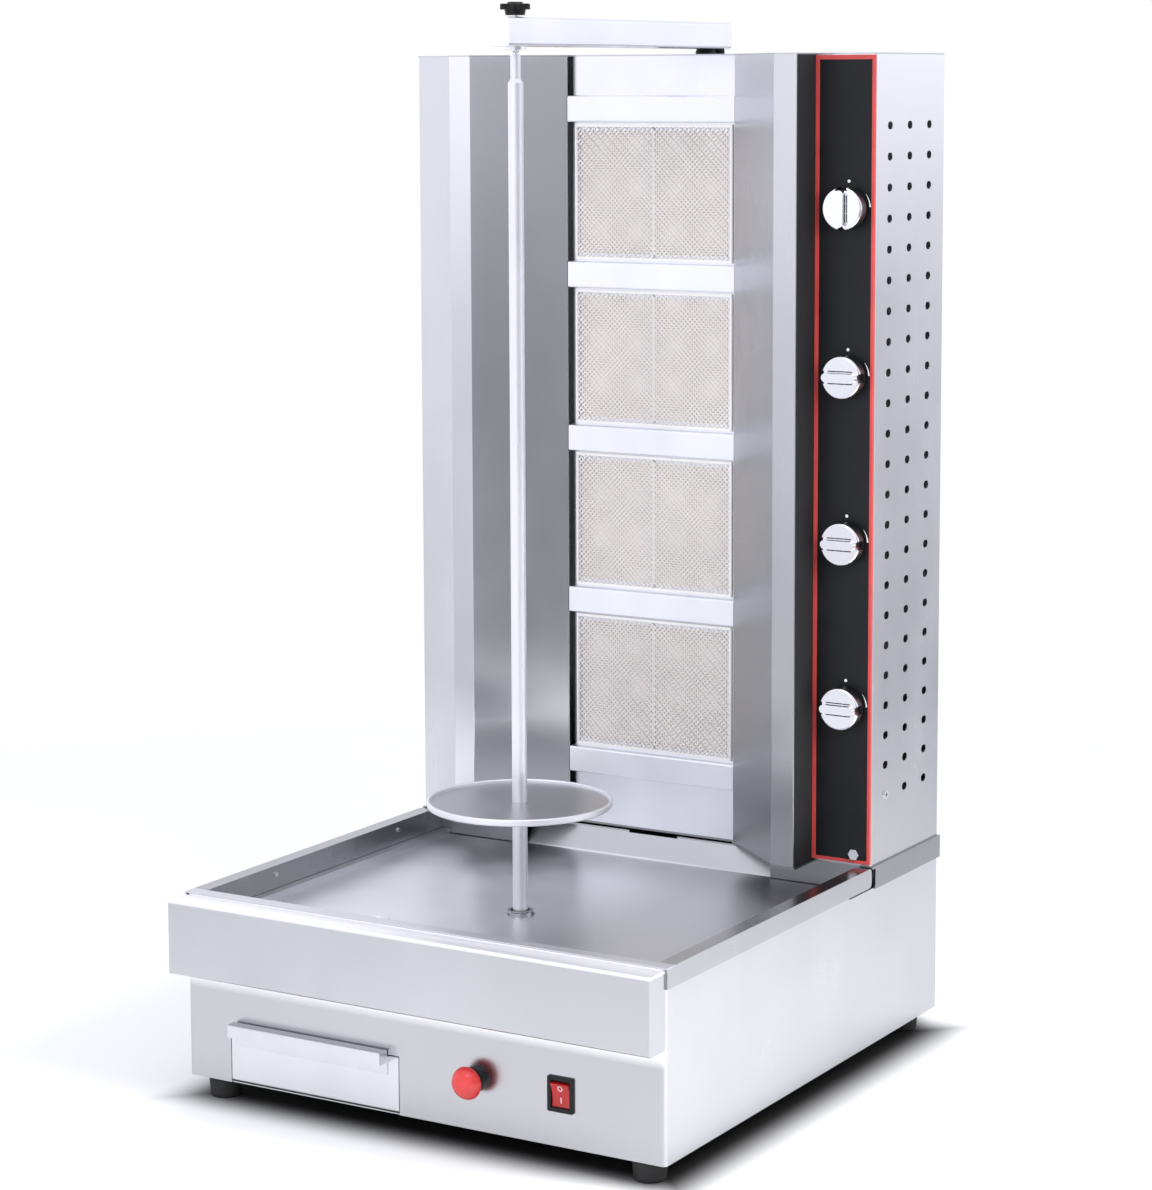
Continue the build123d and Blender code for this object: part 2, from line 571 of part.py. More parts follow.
# Injector pipes: from each valve to the mouth of its burner's mixing tube
with BuildPart() as injector_pipes:
    for z_from, z_to in zip(KNOB_Z, BURNER_Z):
        run = [(KNOB_X - 15, 152, z_from), (212, 152, z_from), (196, MIX_Y + 4, z_to), (178, MIX_Y + 4, z_to)]
        pipe(run, 6.0, 4.0)
        along_x(MIX_Y + 4, z_to, 172, 182, 6.0)
injector_pipes.part.label = "injector_pipes"
export_step(injector_pipes.part, "parts/injector_pipes.step")

# Gas inlet: threaded pipe out of the back, with a hexagon
with BuildPart() as gas_inlet:
    along_y(INLET_X, INLET_Z, PIPE_Y1, REAR, INLET_R)
    with BuildSketch(BACKWARD.offset(BACK_Y)) as nut:
        with Locations((-INLET_X, INLET_Z)):
            RegularPolygon(15.5, 6)
    extrude(nut.sketch, amount=6)
    along_y(INLET_X, INLET_Z, PIPE_Y1 + 4, REAR + 1, 7.5, Mode.SUBTRACT)
    chamfer(gas_inlet.edges().filter_by(GeomType.CIRCLE).group_by(Axis.Y)[-1].sort_by(SortBy.RADIUS)[-1], 1.0)
gas_inlet.part.label = "gas_inlet"
export_step(gas_inlet.part, "parts/gas_inlet.step")

# Cable gland: where the mains lead would come out
with BuildPart() as cable_gland:
    along_y(GLAND_X, GLAND_Z, BACK_Y - 10, BACK_Y + 14, 8.0)
    with BuildSketch(BACKWARD.offset(BACK_Y)) as nut:
        with Locations((-GLAND_X, GLAND_Z)):
            RegularPolygon(12.5, 6)
    extrude(nut.sketch, amount=6)
    along_y(GLAND_X, GLAND_Z, BACK_Y - 11, BACK_Y + 15, 4.0, Mode.SUBTRACT)
    fillet(cable_gland.edges().filter_by(GeomType.CIRCLE).group_by(Axis.Y)[-1], 1.5)
cable_gland.part.label = "cable_gland"
export_step(cable_gland.part, "parts/cable_gland.step")

# Control strip: black plate with a hole for each valve stem
with BuildPart() as control_strip:
    block((STRIP_X0, STRIP_X1), (STRIP_Y, TOWER_Y), (STRIP_Z0, STRIP_Z1))
    for z in KNOB_Z:
        along_y(KNOB_X, z, STRIP_Y - 1, TOWER_Y + 1, 6.0, Mode.SUBTRACT)
control_strip.part.label = "control_strip"
export_step(control_strip.part, "parts/control_strip.step")

# Strip trim: red edging round the control strip
with BuildPart() as strip_trim:
    block((WING_X, SIDE_X), (STRIP_Y - 0.5, TOWER_Y), (TRIM_Z0, TRIM_Z1))
    fillet(strip_trim.edges().filter_by(Axis.Z).group_by(Axis.Y)[0], 1.0)
    block((STRIP_X0, STRIP_X1), (STRIP_Y - 2, TOWER_Y + 1), (STRIP_Z0, STRIP_Z1), Mode.SUBTRACT)
strip_trim.part.label = "strip_trim"
export_step(strip_trim.part, "parts/strip_trim.step")

# Top arm: hollow bar from the back of the tower to the spit, hooked down behind
with BuildPart() as top_arm:
    with BuildSketch(Plane.XZ.offset(-ARM_Y1)) as tube:
        with Locations((0, ARM_Z + ARM_H / 2)):
            RectangleRounded(ARM_W, ARM_H, 3)
    extrude(tube.sketch, amount=ARM_Y1 - ARM_Y0)
    block(
        (-ARM_W / 2 + ARM_T, ARM_W / 2 - ARM_T),
        (ARM_Y0 + ARM_T, ARM_Y1 - ARM_T),
        (ARM_Z + ARM_T, ARM_Z + ARM_H - ARM_T),
        Mode.SUBTRACT,
    )
    block((-ARM_W / 2, ARM_W / 2), (BACK_Y, BACK_Y + 3), (970, ARM_Z + 1))
    fillet(top_arm.edges().filter_by(Axis.Y).group_by(Axis.Z)[0], 6.0)
    upright(0, SPIT_Y, ARM_Z - 1, ARM_Z + ARM_H + 1, 7.6, Mode.SUBTRACT)
top_arm.part.label = "top_arm"
export_step(top_arm.part, "parts/top_arm.step")

# Arm bush: the guide that the locating pin slides in
PIN_R = 4.0
with BuildPart() as arm_bush:
    bore = PIN_R + RUN
    sleeve = [(bore, ARM_Z - 3), (11, ARM_Z - 3), (11, ARM_Z), (7.5, ARM_Z)]
    sleeve += [(7.5, ARM_Z + ARM_H + 1), (bore, ARM_Z + ARM_H + 1)]
    turned(0, SPIT_Y, sleeve)
arm_bush.part.label = "arm_bush"
export_step(arm_bush.part, "parts/arm_bush.step")

# Arm spacer: round black buffer that lifts the arm clear of the cover
BUFFER_R = 11.0
BUFFER_Y = 279.0
with BuildPart() as arm_spacer:
    buffer = [
        (0, TOWER_TOP), (BUFFER_R, TOWER_TOP), (BUFFER_R, ARM_Z - 2.5), (BUFFER_R - 1, ARM_Z - 1.2),
        (BUFFER_R - 1, ARM_Z), (0, ARM_Z),
    ]
    turned(0, BUFFER_Y, buffer)
arm_spacer.part.label = "arm_spacer"
export_step(arm_spacer.part, "parts/arm_spacer.step")

# Screws of the tower: two on each side, one bolt at the foot of the strip, and those of the back
with BuildPart() as tower_screws:
    for side in (-1, 1):
        along_x(HOLE_Y[0], SCREW_Z, side * SIDE_X, side * (SIDE_X + 1.8), 4.5)
    with BuildSketch(Plane.XZ.offset(-STRIP_Y)) as bolt:
        with Locations((256, 221.5)):
            RegularPolygon(6.0, 6)
    extrude(bolt.sketch, amount=5)
    for x in (-262.0, 262.0):
        for z, y in ((40.0, BACK_Y), (196.0, TB_Y1), (320.0, BACK_Y), (660.0, BACK_Y), (1010.0, BACK_Y)):
            along_y(x, z, y, y + 1.8, 4.0)
    for z in (985.0, 1010.0):
        along_y(0, z, BACK_Y + 3, BACK_Y + 5, 4.0)
tower_screws.part.label = "tower_screws"
export_step(tower_screws.part, "parts/tower_screws.step")

# Tray rivets: domed heads on the inner walls of the tray
with BuildPart() as tray_rivets:
    for side in (-1, 1):
        for y in (-165.0, 59.0):
            along_x(y, 199.5, side * RIM_X, side * (RIM_X - 1.5), 2.5)
tray_rivets.part.label = "tray_rivets"
export_step(tray_rivets.part, "parts/tray_rivets.step")

# Push button body: black collar in front, threaded barrel and contact block behind
with BuildPart() as button_body:
    along_y(BUTTON_X, BUTTON_Z, -300.5, FRONT_Y, 12.5)
    along_y(BUTTON_X, BUTTON_Z, FRONT_Y, -272.0, 11.0)
    block((BUTTON_X - 15, BUTTON_X + 15), (-272, -238), (BUTTON_Z - 15, BUTTON_Z + 15))
    chamfer(button_body.edges().filter_by(GeomType.CIRCLE).group_by(Axis.Y)[0], 1.0)
    along_y(BUTTON_X, BUTTON_Z, -302, -262, 5.0 + RUN, Mode.SUBTRACT)
button_body.part.label = "button_body"
export_step(button_body.part, "parts/button_body.step")

# Rocker body: black bezel in front and the switch case behind, with the rocker's pin
PIVOT_Y = -289.5
CAVITY_W, CAVITY_H = 20.4, 26.0
with BuildPart() as rocker_body:
    with BuildSketch(Plane.XZ.offset(-FRONT_Y)) as bezel:
        with Locations((SWITCH_X, SWITCH_Z)):
            RectangleRounded(SWITCH_W, SWITCH_H, 1.5)
    extrude(bezel.sketch, amount=2.2)
    block((SWITCH_X - 12, SWITCH_X + 12), (FRONT_Y, -266), (SWITCH_Z - 15, SWITCH_Z + 15))
    block(
        (SWITCH_X - CAVITY_W / 2, SWITCH_X + CAVITY_W / 2),
        (FRONT_Y - 4, -284),
        (SWITCH_Z - CAVITY_H / 2, SWITCH_Z + CAVITY_H / 2),
        Mode.SUBTRACT,
    )
    along_x(PIVOT_Y, SWITCH_Z, SWITCH_X - 10.5, SWITCH_X + 10.5, 1.2)
rocker_body.part.label = "rocker_body"
export_step(rocker_body.part, "parts/rocker_body.step")

# Rocker key: red rocker, shown tilted with its lower half pressed in
TILT = 9.0
with BuildPart() as rocker_key:
    with BuildSketch(Plane(origin=(SWITCH_X - 9.7, PIVOT_Y, SWITCH_Z), x_dir=(0, 1, 0), z_dir=(1, 0, 0))) as side:
        with BuildLine():
            ThreePointArc((-6.2, -11.6), (-4.9, -6.0), (-4.6, 0))
            ThreePointArc((-4.6, 0), (-4.9, 6.0), (-6.2, 11.6))
            Polyline((-6.2, 11.6), (-2.5, 12.0), (3.4, 6.5), (3.4, -6.5), (-2.5, -12.0), (-6.2, -11.6))
        make_face()
    extrude(side.sketch, amount=19.4)
    along_x(PIVOT_Y, SWITCH_Z, SWITCH_X - 10, SWITCH_X + 10, 1.2 + RUN, Mode.SUBTRACT)
rocker_key.part = rocker_key.part.rotate(Axis((SWITCH_X, PIVOT_Y, SWITCH_Z), (1, 0, 0)), TILT)
rocker_key.part.label = "rocker_key"
export_step(rocker_key.part, "parts/rocker_key.step")

# Push button head: red mushroom on its stem
with BuildPart() as button_head:
    with BuildSketch(Plane(origin=(BUTTON_X, 0, BUTTON_Z), x_dir=(1, 0, 0), z_dir=(0, 0, 1))) as dome:
        with BuildLine():
            Line((0, -317.5), (4, -317.5))
            ThreePointArc((4, -317.5), (12.8, -314.6), (16, -308.8))
            Polyline((16, -308.8), (14.5, -305.5), (5, -305.5), (5, -268), (0, -268), (0, -317.5))
        make_face()
    revolve(dome.sketch, axis=Axis((BUTTON_X, 0, BUTTON_Z), (0, 1, 0)))
button_head.part.label = "button_head"
export_step(button_head.part, "parts/button_head.step")

# Spit rod: long rod with a necked and bored top
with BuildPart() as spit_rod:
    rod = [
        (0, ROD_Z0), (ROD_R - 1, ROD_Z0), (ROD_R, ROD_Z0 + 1), (ROD_R, NECK_Z0 - 4), (NECK_R, NECK_Z0),
        (NECK_R, NECK_Z1), (2.5 + RUN, NECK_Z1), (2.5 + RUN, PIN_TIP_Z - 4), (0, PIN_TIP_Z - 4),
    ]
    turned(0, SPIT_Y, rod)
spit_rod.part.label = "spit_rod"
export_step(spit_rod.part, "parts/spit_rod.step")

# Spit disc: plate that carries the meat, with a rolled edge that stands above and below it
with BuildPart() as spit_disc:
    with BuildSketch(Plane(origin=(0, SPIT_Y, 0), x_dir=(1, 0, 0), z_dir=(0, -1, 0))) as section:
        with Locations(((ROD_R + EASE + DISC_R - 1.6) / 2, DISC_Z + 0.75)):
            Rectangle(DISC_R - 1.6 - ROD_R - EASE, 1.5)
        with Locations((DISC_R - 1.6, DISC_Z + 1.2)):
            SlotOverall(6.8, 3.2, rotation=90)
    revolve(section.sketch, axis=Axis((0, SPIT_Y, 0), (0, 0, 1)))
spit_disc.part.label = "spit_disc"
export_step(spit_disc.part, "parts/spit_disc.step")

# Disc hub: clamping collar under the disc with its thumb screw
with BuildPart() as disc_hub:
    hub_r = ROD_R + EASE
    hub = [(hub_r, DISC_Z - 16), (14, DISC_Z - 16), (14, DISC_Z - 4), (22, DISC_Z - 2), (22, DISC_Z), (hub_r, DISC_Z)]
    turned(0, SPIT_Y, hub)
    along_x(SPIT_Y, DISC_Z - 10, ROD_R, 26, 3.0)
    along_x(SPIT_Y, DISC_Z - 10, 20, 28, 6.0)
disc_hub.part.label = "disc_hub"
export_step(disc_hub.part, "parts/disc_hub.step")

# Drive spindle: socket that the rod stands in, with its shaft down into the gearbox
with BuildPart() as drive_spindle:
    spindle = [
        (0, 130), (SHAFT_R, 130), (SHAFT_R, 162), (SPINDLE_R, 164), (SPINDLE_R, 179.5), (ROD_R + EASE, 179.5),
        (ROD_R + EASE, ROD_Z0), (0, ROD_Z0),
    ]
    turned(0, SPIT_Y, spindle)
drive_spindle.part.label = "drive_spindle"
export_step(drive_spindle.part, "parts/drive_spindle.step")

# Locating pin: slides down through the arm into the top of the rod
PIN_TOP = ARM_Z + ARM_H + 4
with BuildPart() as lift_pin:
    step = ARM_Z - 4
    pin = [
        (0, PIN_TIP_Z), (1.8, PIN_TIP_Z), (2.5, PIN_TIP_Z + 1), (2.5, step - 2), (PIN_R, step),
        (PIN_R, PIN_TOP), (0, PIN_TOP),
    ]
    turned(0, SPIT_Y, pin)
lift_pin.part.label = "lift_pin"
export_step(lift_pin.part, "parts/lift_pin.step")

# Pin knob: black lobed hand knob on the locating pin
with BuildPart() as pin_knob:
    foot, grip_z = PIN_TOP - 2, PIN_TOP + 3.5
    with BuildSketch(Plane.XY.offset(grip_z)) as lobes:
        with Locations((0, SPIT_Y)):
            Circle(12.5)
            with PolarLocations(11.5, 6):
                Circle(4.5)
        fillet(lobes.vertices(), 1.5)
    extrude(lobes.sketch, amount=5.5)
    fillet(pin_knob.edges().group_by(Axis.Z)[-1], 1.2)
    turned(0, SPIT_Y, [(0, PIN_TOP), (0, foot), (9.5, foot), (10.5, grip_z + 0.5), (0, grip_z + 0.5)])
    turned(0, SPIT_Y, [(0, grip_z + 4.5), (9, grip_z + 4.5), (7, grip_z + 7.2), (0, grip_z + 7.2)])
    upright(0, SPIT_Y, foot - 1, PIN_TOP, PIN_R + EASE, Mode.SUBTRACT)
pin_knob.part.label = "pin_knob"
export_step(pin_knob.part, "parts/pin_knob.step")

# Drawer box: folded grease tray, open on top
with BuildPart() as drawer_box:
    block((BOX_X0, BOX_X1), (FRONT_Y + SHEET, BOX_Y1), (BOX_Z0, BOX_Z1))
    fillet(drawer_box.edges().filter_by(Axis.Z), 3.0)
    block(
        (BOX_X0 + DRAWER_T, BOX_X1 - DRAWER_T),
        (FRONT_Y + SHEET + DRAWER_T, BOX_Y1 - DRAWER_T),
        (BOX_Z0 + DRAWER_T, BOX_Z1 + 1),
        Mode.SUBTRACT,
    )
drawer_box.part.label = "drawer_box"
export_step(drawer_box.part, "parts/drawer_box.step")

# Drawer front: flush panel in the base's opening, its edges turned back
DRAWER_Z0 = 24.0
with BuildPart() as drawer_front:
    back = FRONT_Y + 8
    tray = [
        (back, DRAWER_Z0 + HALF), (FRONT_Y + HALF, DRAWER_Z0 + HALF),
        (FRONT_Y + HALF, DRAWER_TOP - HALF), (back, DRAWER_TOP - HALF),
    ]
    folded(Plane.YZ.offset(DRAWER_X0), tray, 1.5, DRAWER_X1 - DRAWER_X0)
    for x in (DRAWER_X0, DRAWER_X1 - SHEET):
        block((x, x + SHEET), (FRONT_Y + SHEET, back), (DRAWER_Z0 + SHEET, DRAWER_TOP - SHEET))
drawer_front.part.label = "drawer_front"
export_step(drawer_front.part, "parts/drawer_front.step")

# Drawer handle: strip bent out and down, closed at both ends
HANDLE_X0, HANDLE_X1 = -214.0, -33.0
HANDLE_Y = FRONT_Y - 14.0
HANDLE_TOP = 85.0
with BuildPart() as drawer_handle:
    lip = [
        (FRONT_Y - HALF, 60), (FRONT_Y - HALF, DRAWER_TOP - 2), (FRONT_Y - 2.5, HANDLE_TOP - HALF),
        (HANDLE_Y + HALF, HANDLE_TOP - HALF), (HANDLE_Y + HALF, HANDLE_TOP - 13),
    ]
    folded(Plane.YZ.offset(HANDLE_X0), lip, 1.2, HANDLE_X1 - HANDLE_X0)
    for x in (HANDLE_X0, HANDLE_X1 - SHEET):
        with BuildSketch(Plane.YZ.offset(x)) as end:
            with Locations(((HANDLE_Y + FRONT_Y - SHEET) / 2, HANDLE_TOP - 6.5)):
                RectangleRounded(FRONT_Y - SHEET - HANDLE_Y, 13, 2.9)
        extrude(end.sketch, amount=SHEET)
drawer_handle.part.label = "drawer_handle"
export_step(drawer_handle.part, "parts/drawer_handle.step")

# Knobs: a black skirt with the valve stem, and a chrome cap with a grip across it
CAP_R = 22.2
SKIRT_R = 20.5
CAP_BACK, CAP_FACE, GRIP_FACE = 124.0, 112.5, 107.0
# The upper knob stands at off with its grip upright, and the rest are turned on
GRIP_TURN = {1: 0, 2: 90, 3: 90, 4: 90}

for number, z in zip((4, 3, 2, 1), KNOB_Z):
    with BuildPart() as knob_skirt:
        along_y(KNOB_X, z, CAP_BACK, STRIP_Y - 0.5, SKIRT_R)
        chamfer(knob_skirt.edges().filter_by(GeomType.CIRCLE).group_by(Axis.Y)[-1], 1.0)
        along_y(KNOB_X, z, CAP_BACK, STEM_END, STEM_R)
    knob_skirt.part.label = f"knob_{number}_skirt"
    export_step(knob_skirt.part, f"parts/knob_{number}_skirt.step")

    with BuildPart() as knob_cap:
        with BuildSketch(Plane.XZ.offset(-CAP_BACK)) as face:
            with Locations((KNOB_X, z)):
                Circle(CAP_R)
        extrude(face.sketch, amount=CAP_BACK - CAP_FACE, taper=3)
        fillet(knob_cap.edges().filter_by(GeomType.CIRCLE).group_by(Axis.Y)[0], 2.0)
        turn = GRIP_TURN[number]
        with BuildSketch(Plane.XZ.offset(-CAP_FACE)) as grip:
            with Locations(Location((KNOB_X, z, 0), (0, 0, turn))):
                SlotOverall(38, 10, rotation=90)
        extrude(grip.sketch, amount=CAP_FACE - GRIP_FACE, taper=6)
        with BuildSketch(Plane.XZ.offset(-CAP_FACE)) as notch:
            with Locations(Location((KNOB_X, z, 0), (0, 0, turn))):
                with Locations((0, CAP_R + 1), (0, -CAP_R - 1)):
                    Trapezoid(14, 11, 60)
                    Circle(5.0)
        extrude(notch.sketch, amount=-(CAP_BACK - CAP_FACE), mode=Mode.SUBTRACT)
    knob_cap.part.label = f"knob_{number}_cap"
    export_step(knob_cap.part, f"parts/knob_{number}_cap.step")
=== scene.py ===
# %% [markdown]
# A gas grill for stacked meat, in stainless sheet: a tray base with a drawer, and a tower whose
# four ceramic burners face an upright spit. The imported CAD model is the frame. It is loaded first,
# in metres and in its own place, and everything below only paints it or adds fine pieces to it.

import json
import math

import bmesh
import bpy
from mathutils import Matrix, Vector
from mathutils.bvhtree import BVHTree


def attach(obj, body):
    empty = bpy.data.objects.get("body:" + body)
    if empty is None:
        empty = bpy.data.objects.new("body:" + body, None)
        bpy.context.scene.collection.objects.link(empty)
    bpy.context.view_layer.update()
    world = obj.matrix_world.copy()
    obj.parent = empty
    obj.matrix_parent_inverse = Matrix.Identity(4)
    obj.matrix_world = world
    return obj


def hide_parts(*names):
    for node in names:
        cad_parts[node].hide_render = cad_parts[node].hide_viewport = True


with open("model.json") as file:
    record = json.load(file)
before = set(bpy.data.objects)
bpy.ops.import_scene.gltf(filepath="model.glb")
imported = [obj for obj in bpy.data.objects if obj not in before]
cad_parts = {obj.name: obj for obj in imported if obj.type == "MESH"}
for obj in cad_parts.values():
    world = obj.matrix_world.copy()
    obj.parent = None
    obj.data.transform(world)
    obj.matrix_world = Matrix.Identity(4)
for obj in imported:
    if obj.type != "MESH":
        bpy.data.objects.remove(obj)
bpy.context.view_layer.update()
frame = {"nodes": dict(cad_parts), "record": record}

# %% [markdown]
# The camera stands where the photographer stood: to the right of the machine, about level with the
# top of the tower, with a long lens. Its axes are worked out from three angles, and a small shift
# keeps the uprights of the tower nearly parallel, as they are in a product picture. The lens could
# be set by eye, but solving it from points on the base and the tower keeps every edge in place.

# %% Camera
PICTURE_W, PICTURE_H = 1152, 1190
CAMERA_AT = (1.6403, -2.7235, 1.0060)
CAMERA_YAW, CAMERA_PITCH, CAMERA_ROLL = 0.5411, 0.1193, -0.0036
FOCAL_PIXELS = 3165.4
CENTRE_Y = 460.0

look = Vector((
    -math.sin(CAMERA_YAW) * math.cos(CAMERA_PITCH),
    math.cos(CAMERA_YAW) * math.cos(CAMERA_PITCH),
    -math.sin(CAMERA_PITCH),
))
level = Vector((math.cos(CAMERA_YAW), math.sin(CAMERA_YAW), 0))
above = level.cross(look)
right = math.cos(CAMERA_ROLL) * level + math.sin(CAMERA_ROLL) * above
up = -math.sin(CAMERA_ROLL) * level + math.cos(CAMERA_ROLL) * above

camera_data = bpy.data.cameras.new("camera")
camera_data.sensor_width = 36
camera_data.lens = FOCAL_PIXELS / PICTURE_H * 36
camera_data.shift_y = -(PICTURE_H / 2 - CENTRE_Y) / PICTURE_H
camera_data.clip_end = 100
camera = bpy.data.objects.new("camera", camera_data)
camera.matrix_world = Matrix.Translation(CAMERA_AT) @ Matrix((right, up, -look)).transposed().to_4x4()
bpy.context.collection.objects.link(camera)
bpy.context.scene.camera = camera
print("lens", round(camera_data.lens, 1), "mm, shift", round(camera_data.shift_y, 3))

# %% [markdown]
# Polished sheet shows the room more than itself, so the room is most of the look. An upright sheet
# that is seen from eye height mirrors the room just below the horizon, which is why the real tower
# is bright at its top and greyer at its foot. The world is painted by direction only, a bright
# band at the horizon over a greyer ground, so it stays put when the camera moves, and the camera
# itself sees plain white. Lamps alone would leave the steel black between their reflections.

# %% Studio world
scene = bpy.context.scene
scene.view_settings.view_transform = "Standard"
world = bpy.data.worlds.new("studio")
scene.world = world
world.use_nodes = True
sky = world.node_tree
sky.nodes.clear()


def node(tree, kind, **values):
    """Adds a shader node and sets its named inputs or properties."""
    made = tree.nodes.new(kind)
    for name, value in values.items():
        if name in made.inputs:
            made.inputs[name].default_value = value
        else:
            setattr(made, name, value)
    return made


def ramp(tree, value, stops):
    """Maps a value through grey stops, given as (position, level)."""
    made = node(tree, "ShaderNodeFloatCurve")
    curve = made.mapping.curves[0]
    top = max(level for _, level in stops)
    curve.points[0].location = (stops[0][0], stops[0][1] / top)
    curve.points[1].location = (stops[-1][0], stops[-1][1] / top)
    for place, level in stops[1:-1]:
        curve.points.new(place, level / top)
    for point in curve.points:
        point.handle_type = "VECTOR"
    made.mapping.update()
    tree.links.new(value, made.inputs["Value"])
    return times(tree, made.outputs["Value"], top)


def times(tree, value, factor):
    """value times a number or another value."""
    made = node(tree, "ShaderNodeMath", operation="MULTIPLY")
    tree.links.new(value, made.inputs[0])
    if isinstance(factor, (int, float)):
        made.inputs[1].default_value = factor
    else:
        tree.links.new(factor, made.inputs[1])
    return made.outputs[0]


def patch(tree, direction, towards, edge_out, edge_in, level):
    """level inside a soft round patch of the sky around a direction, 1 outside it."""
    axis = node(tree, "ShaderNodeVectorMath", operation="DOT_PRODUCT")
    axis.inputs[1].default_value = Vector(towards).normalized()
    tree.links.new(direction, axis.inputs[0])
    edge = node(tree, "ShaderNodeMapRange", interpolation_type="SMOOTHSTEP")
    edge.inputs["From Min"].default_value = math.cos(math.radians(edge_out))
    edge.inputs["From Max"].default_value = math.cos(math.radians(edge_in))
    edge.inputs["To Min"].default_value = 1.0
    edge.inputs["To Max"].default_value = level
    tree.links.new(axis.outputs["Value"], edge.inputs["Value"])
    return edge.outputs["Result"]


# Height on the sky's sphere, from 0 below to 1 above, and the level there
BAND = [
    (0.0, 0.80), (0.36, 0.76), (0.415, 0.90), (0.45, 1.04), (0.48, 1.22),
    (0.50, 1.36), (0.56, 1.22), (0.70, 1.0), (1.0, 1.1),
]
# A direction, the outer and inner edge of its patch in degrees, and its factor
PATCHES = [
    ((0.83, -0.51, -0.12), 46, 14, 0.38),
    ((-0.51, 0.85, 0.30), 46, 12, 0.90),
    ((0.51, 0.85, -0.28), 24, 8, 0.72),
]
STUDIO_TINT = (0.965, 0.975, 1.04, 1)
where = node(sky, "ShaderNodeTexCoord").outputs["Generated"]
parts = node(sky, "ShaderNodeSeparateXYZ")
sky.links.new(where, parts.inputs[0])
height = node(sky, "ShaderNodeMapRange")
height.inputs["From Min"].default_value = -1.0
sky.links.new(parts.outputs["Z"], height.inputs["Value"])
strength = ramp(sky, height.outputs["Result"], BAND)
for towards, edge_out, edge_in, level in PATCHES:
    strength = times(sky, strength, patch(sky, where, towards, edge_out, edge_in, level))
room = node(sky, "ShaderNodeBackground", Color=STUDIO_TINT)
sky.links.new(strength, room.inputs["Strength"])
white = node(sky, "ShaderNodeBackground", Color=(1.0, 1.0, 1.0, 1), Strength=1.0)
seen = node(sky, "ShaderNodeLightPath")
choose = node(sky, "ShaderNodeMixShader")
sky.links.new(seen.outputs["Is Camera Ray"], choose.inputs[0])
sky.links.new(room.outputs[0], choose.inputs[1])
sky.links.new(white.outputs[0], choose.inputs[2])
sky.links.new(choose.outputs[0], node(sky, "ShaderNodeOutputWorld").inputs["Surface"])
print("room stops", len(BAND), "patches", len(PATCHES))

# %% [markdown]
# Large soft lamps stand in for the softboxes. They are wide, so their edges blur in the brushed
# sheet. A smaller one brightens the floor at the right. It is hidden from reflections, because
# it would stand as a hot spot in the polished wing.

# %% Softboxes
# Where each lamp stands, its size, its power in watts and what it is aimed at
LAMPS = {
    "key_front": ((0.0, -2.9, 2.4), (1.4, 1.4), 10, (0.0, 0.0, 0.4)),
    "floor_right": ((1.0, -0.30, 0.95), (0.6, 0.6), 13, (0.45, -0.30, 0.0)),
    "top": ((0.0, 0.2, 3.2), (2.0, 2.0), 12, (0.0, 0.0, 0.0)),
}
UNREFLECTED = "floor_right"
for name, (place, size, power, target) in LAMPS.items():
    light = bpy.data.lights.new(name, "AREA")
    light.shape = "RECTANGLE"
    light.size, light.size_y = size
    light.energy = power
    lamp = bpy.data.objects.new(name, light)
    lamp.location = place
    lamp.rotation_euler = (Vector(target) - Vector(place)).to_track_quat("-Z", "Y").to_euler()
    lamp.visible_glossy = name != UNREFLECTED
    bpy.context.collection.objects.link(lamp)
print("lamps", len(LAMPS))

# %% [markdown]
# The machine stands on a round sheet of white paper. It fades out towards its rim, where the white
# room takes over, so there is no horizon line to draw the eye, and its edge never shows. A floor
# that ran on for ever would fill the lower half of every reflection with one flat white. The
# paper is painted dark under the base and just round it, because lamps as wide as these leave
# hardly any shadow there.

# %% Floor
FLOOR_R = 2.1
FADE_FROM = 1.1
# The dark part: half its size, its shift to the right, and its soft edge inside and outside
SHADE_HALF = (0.2805, 0.2935, 10.0)
SHADE_SHIFT = (0.008, 0.0, 0.0)
SHADE_EDGE = (-0.030, 0.040)
SHADE_GREY, PAPER_GREY = 0.02, 0.9
floor_mesh = bpy.data.meshes.new("floor")
disc = bmesh.new()
bmesh.ops.create_circle(disc, cap_ends=True, segments=96, radius=FLOOR_R)
disc.to_mesh(floor_mesh)
disc.free()
floor = bpy.data.objects.new("floor", floor_mesh)
bpy.context.collection.objects.link(floor)
paper = bpy.data.materials.new("floor_paper")
paper.use_nodes = True
page = paper.node_tree
sheet = page.nodes["Principled BSDF"]
sheet.inputs["Roughness"].default_value = 0.95
sheet.inputs["Specular IOR Level"].default_value = 0.1
spot = node(page, "ShaderNodeTexCoord")
length = node(page, "ShaderNodeVectorMath", operation="LENGTH")
page.links.new(spot.outputs["Object"], length.inputs[0])
fade = node(page, "ShaderNodeMapRange", interpolation_type="SMOOTHSTEP")
fade.inputs["From Min"].default_value = FADE_FROM
fade.inputs["From Max"].default_value = FLOOR_R
fade.inputs["To Min"].default_value = 1.0
fade.inputs["To Max"].default_value = 0.0
page.links.new(length.outputs["Value"], fade.inputs["Value"])
page.links.new(fade.outputs["Result"], sheet.inputs["Alpha"])
aside = node(page, "ShaderNodeVectorMath", operation="ABSOLUTE")
to_right = node(page, "ShaderNodeVectorMath", operation="SUBTRACT")
to_right.inputs[1].default_value = SHADE_SHIFT
page.links.new(spot.outputs["Object"], to_right.inputs[0])
page.links.new(to_right.outputs[0], aside.inputs[0])
past_base = node(page, "ShaderNodeVectorMath", operation="SUBTRACT")
past_base.inputs[1].default_value = SHADE_HALF
page.links.new(aside.outputs[0], past_base.inputs[0])
sides = node(page, "ShaderNodeSeparateXYZ")
page.links.new(past_base.outputs[0], sides.inputs[0])
outside = node(page, "ShaderNodeMath", operation="MAXIMUM")
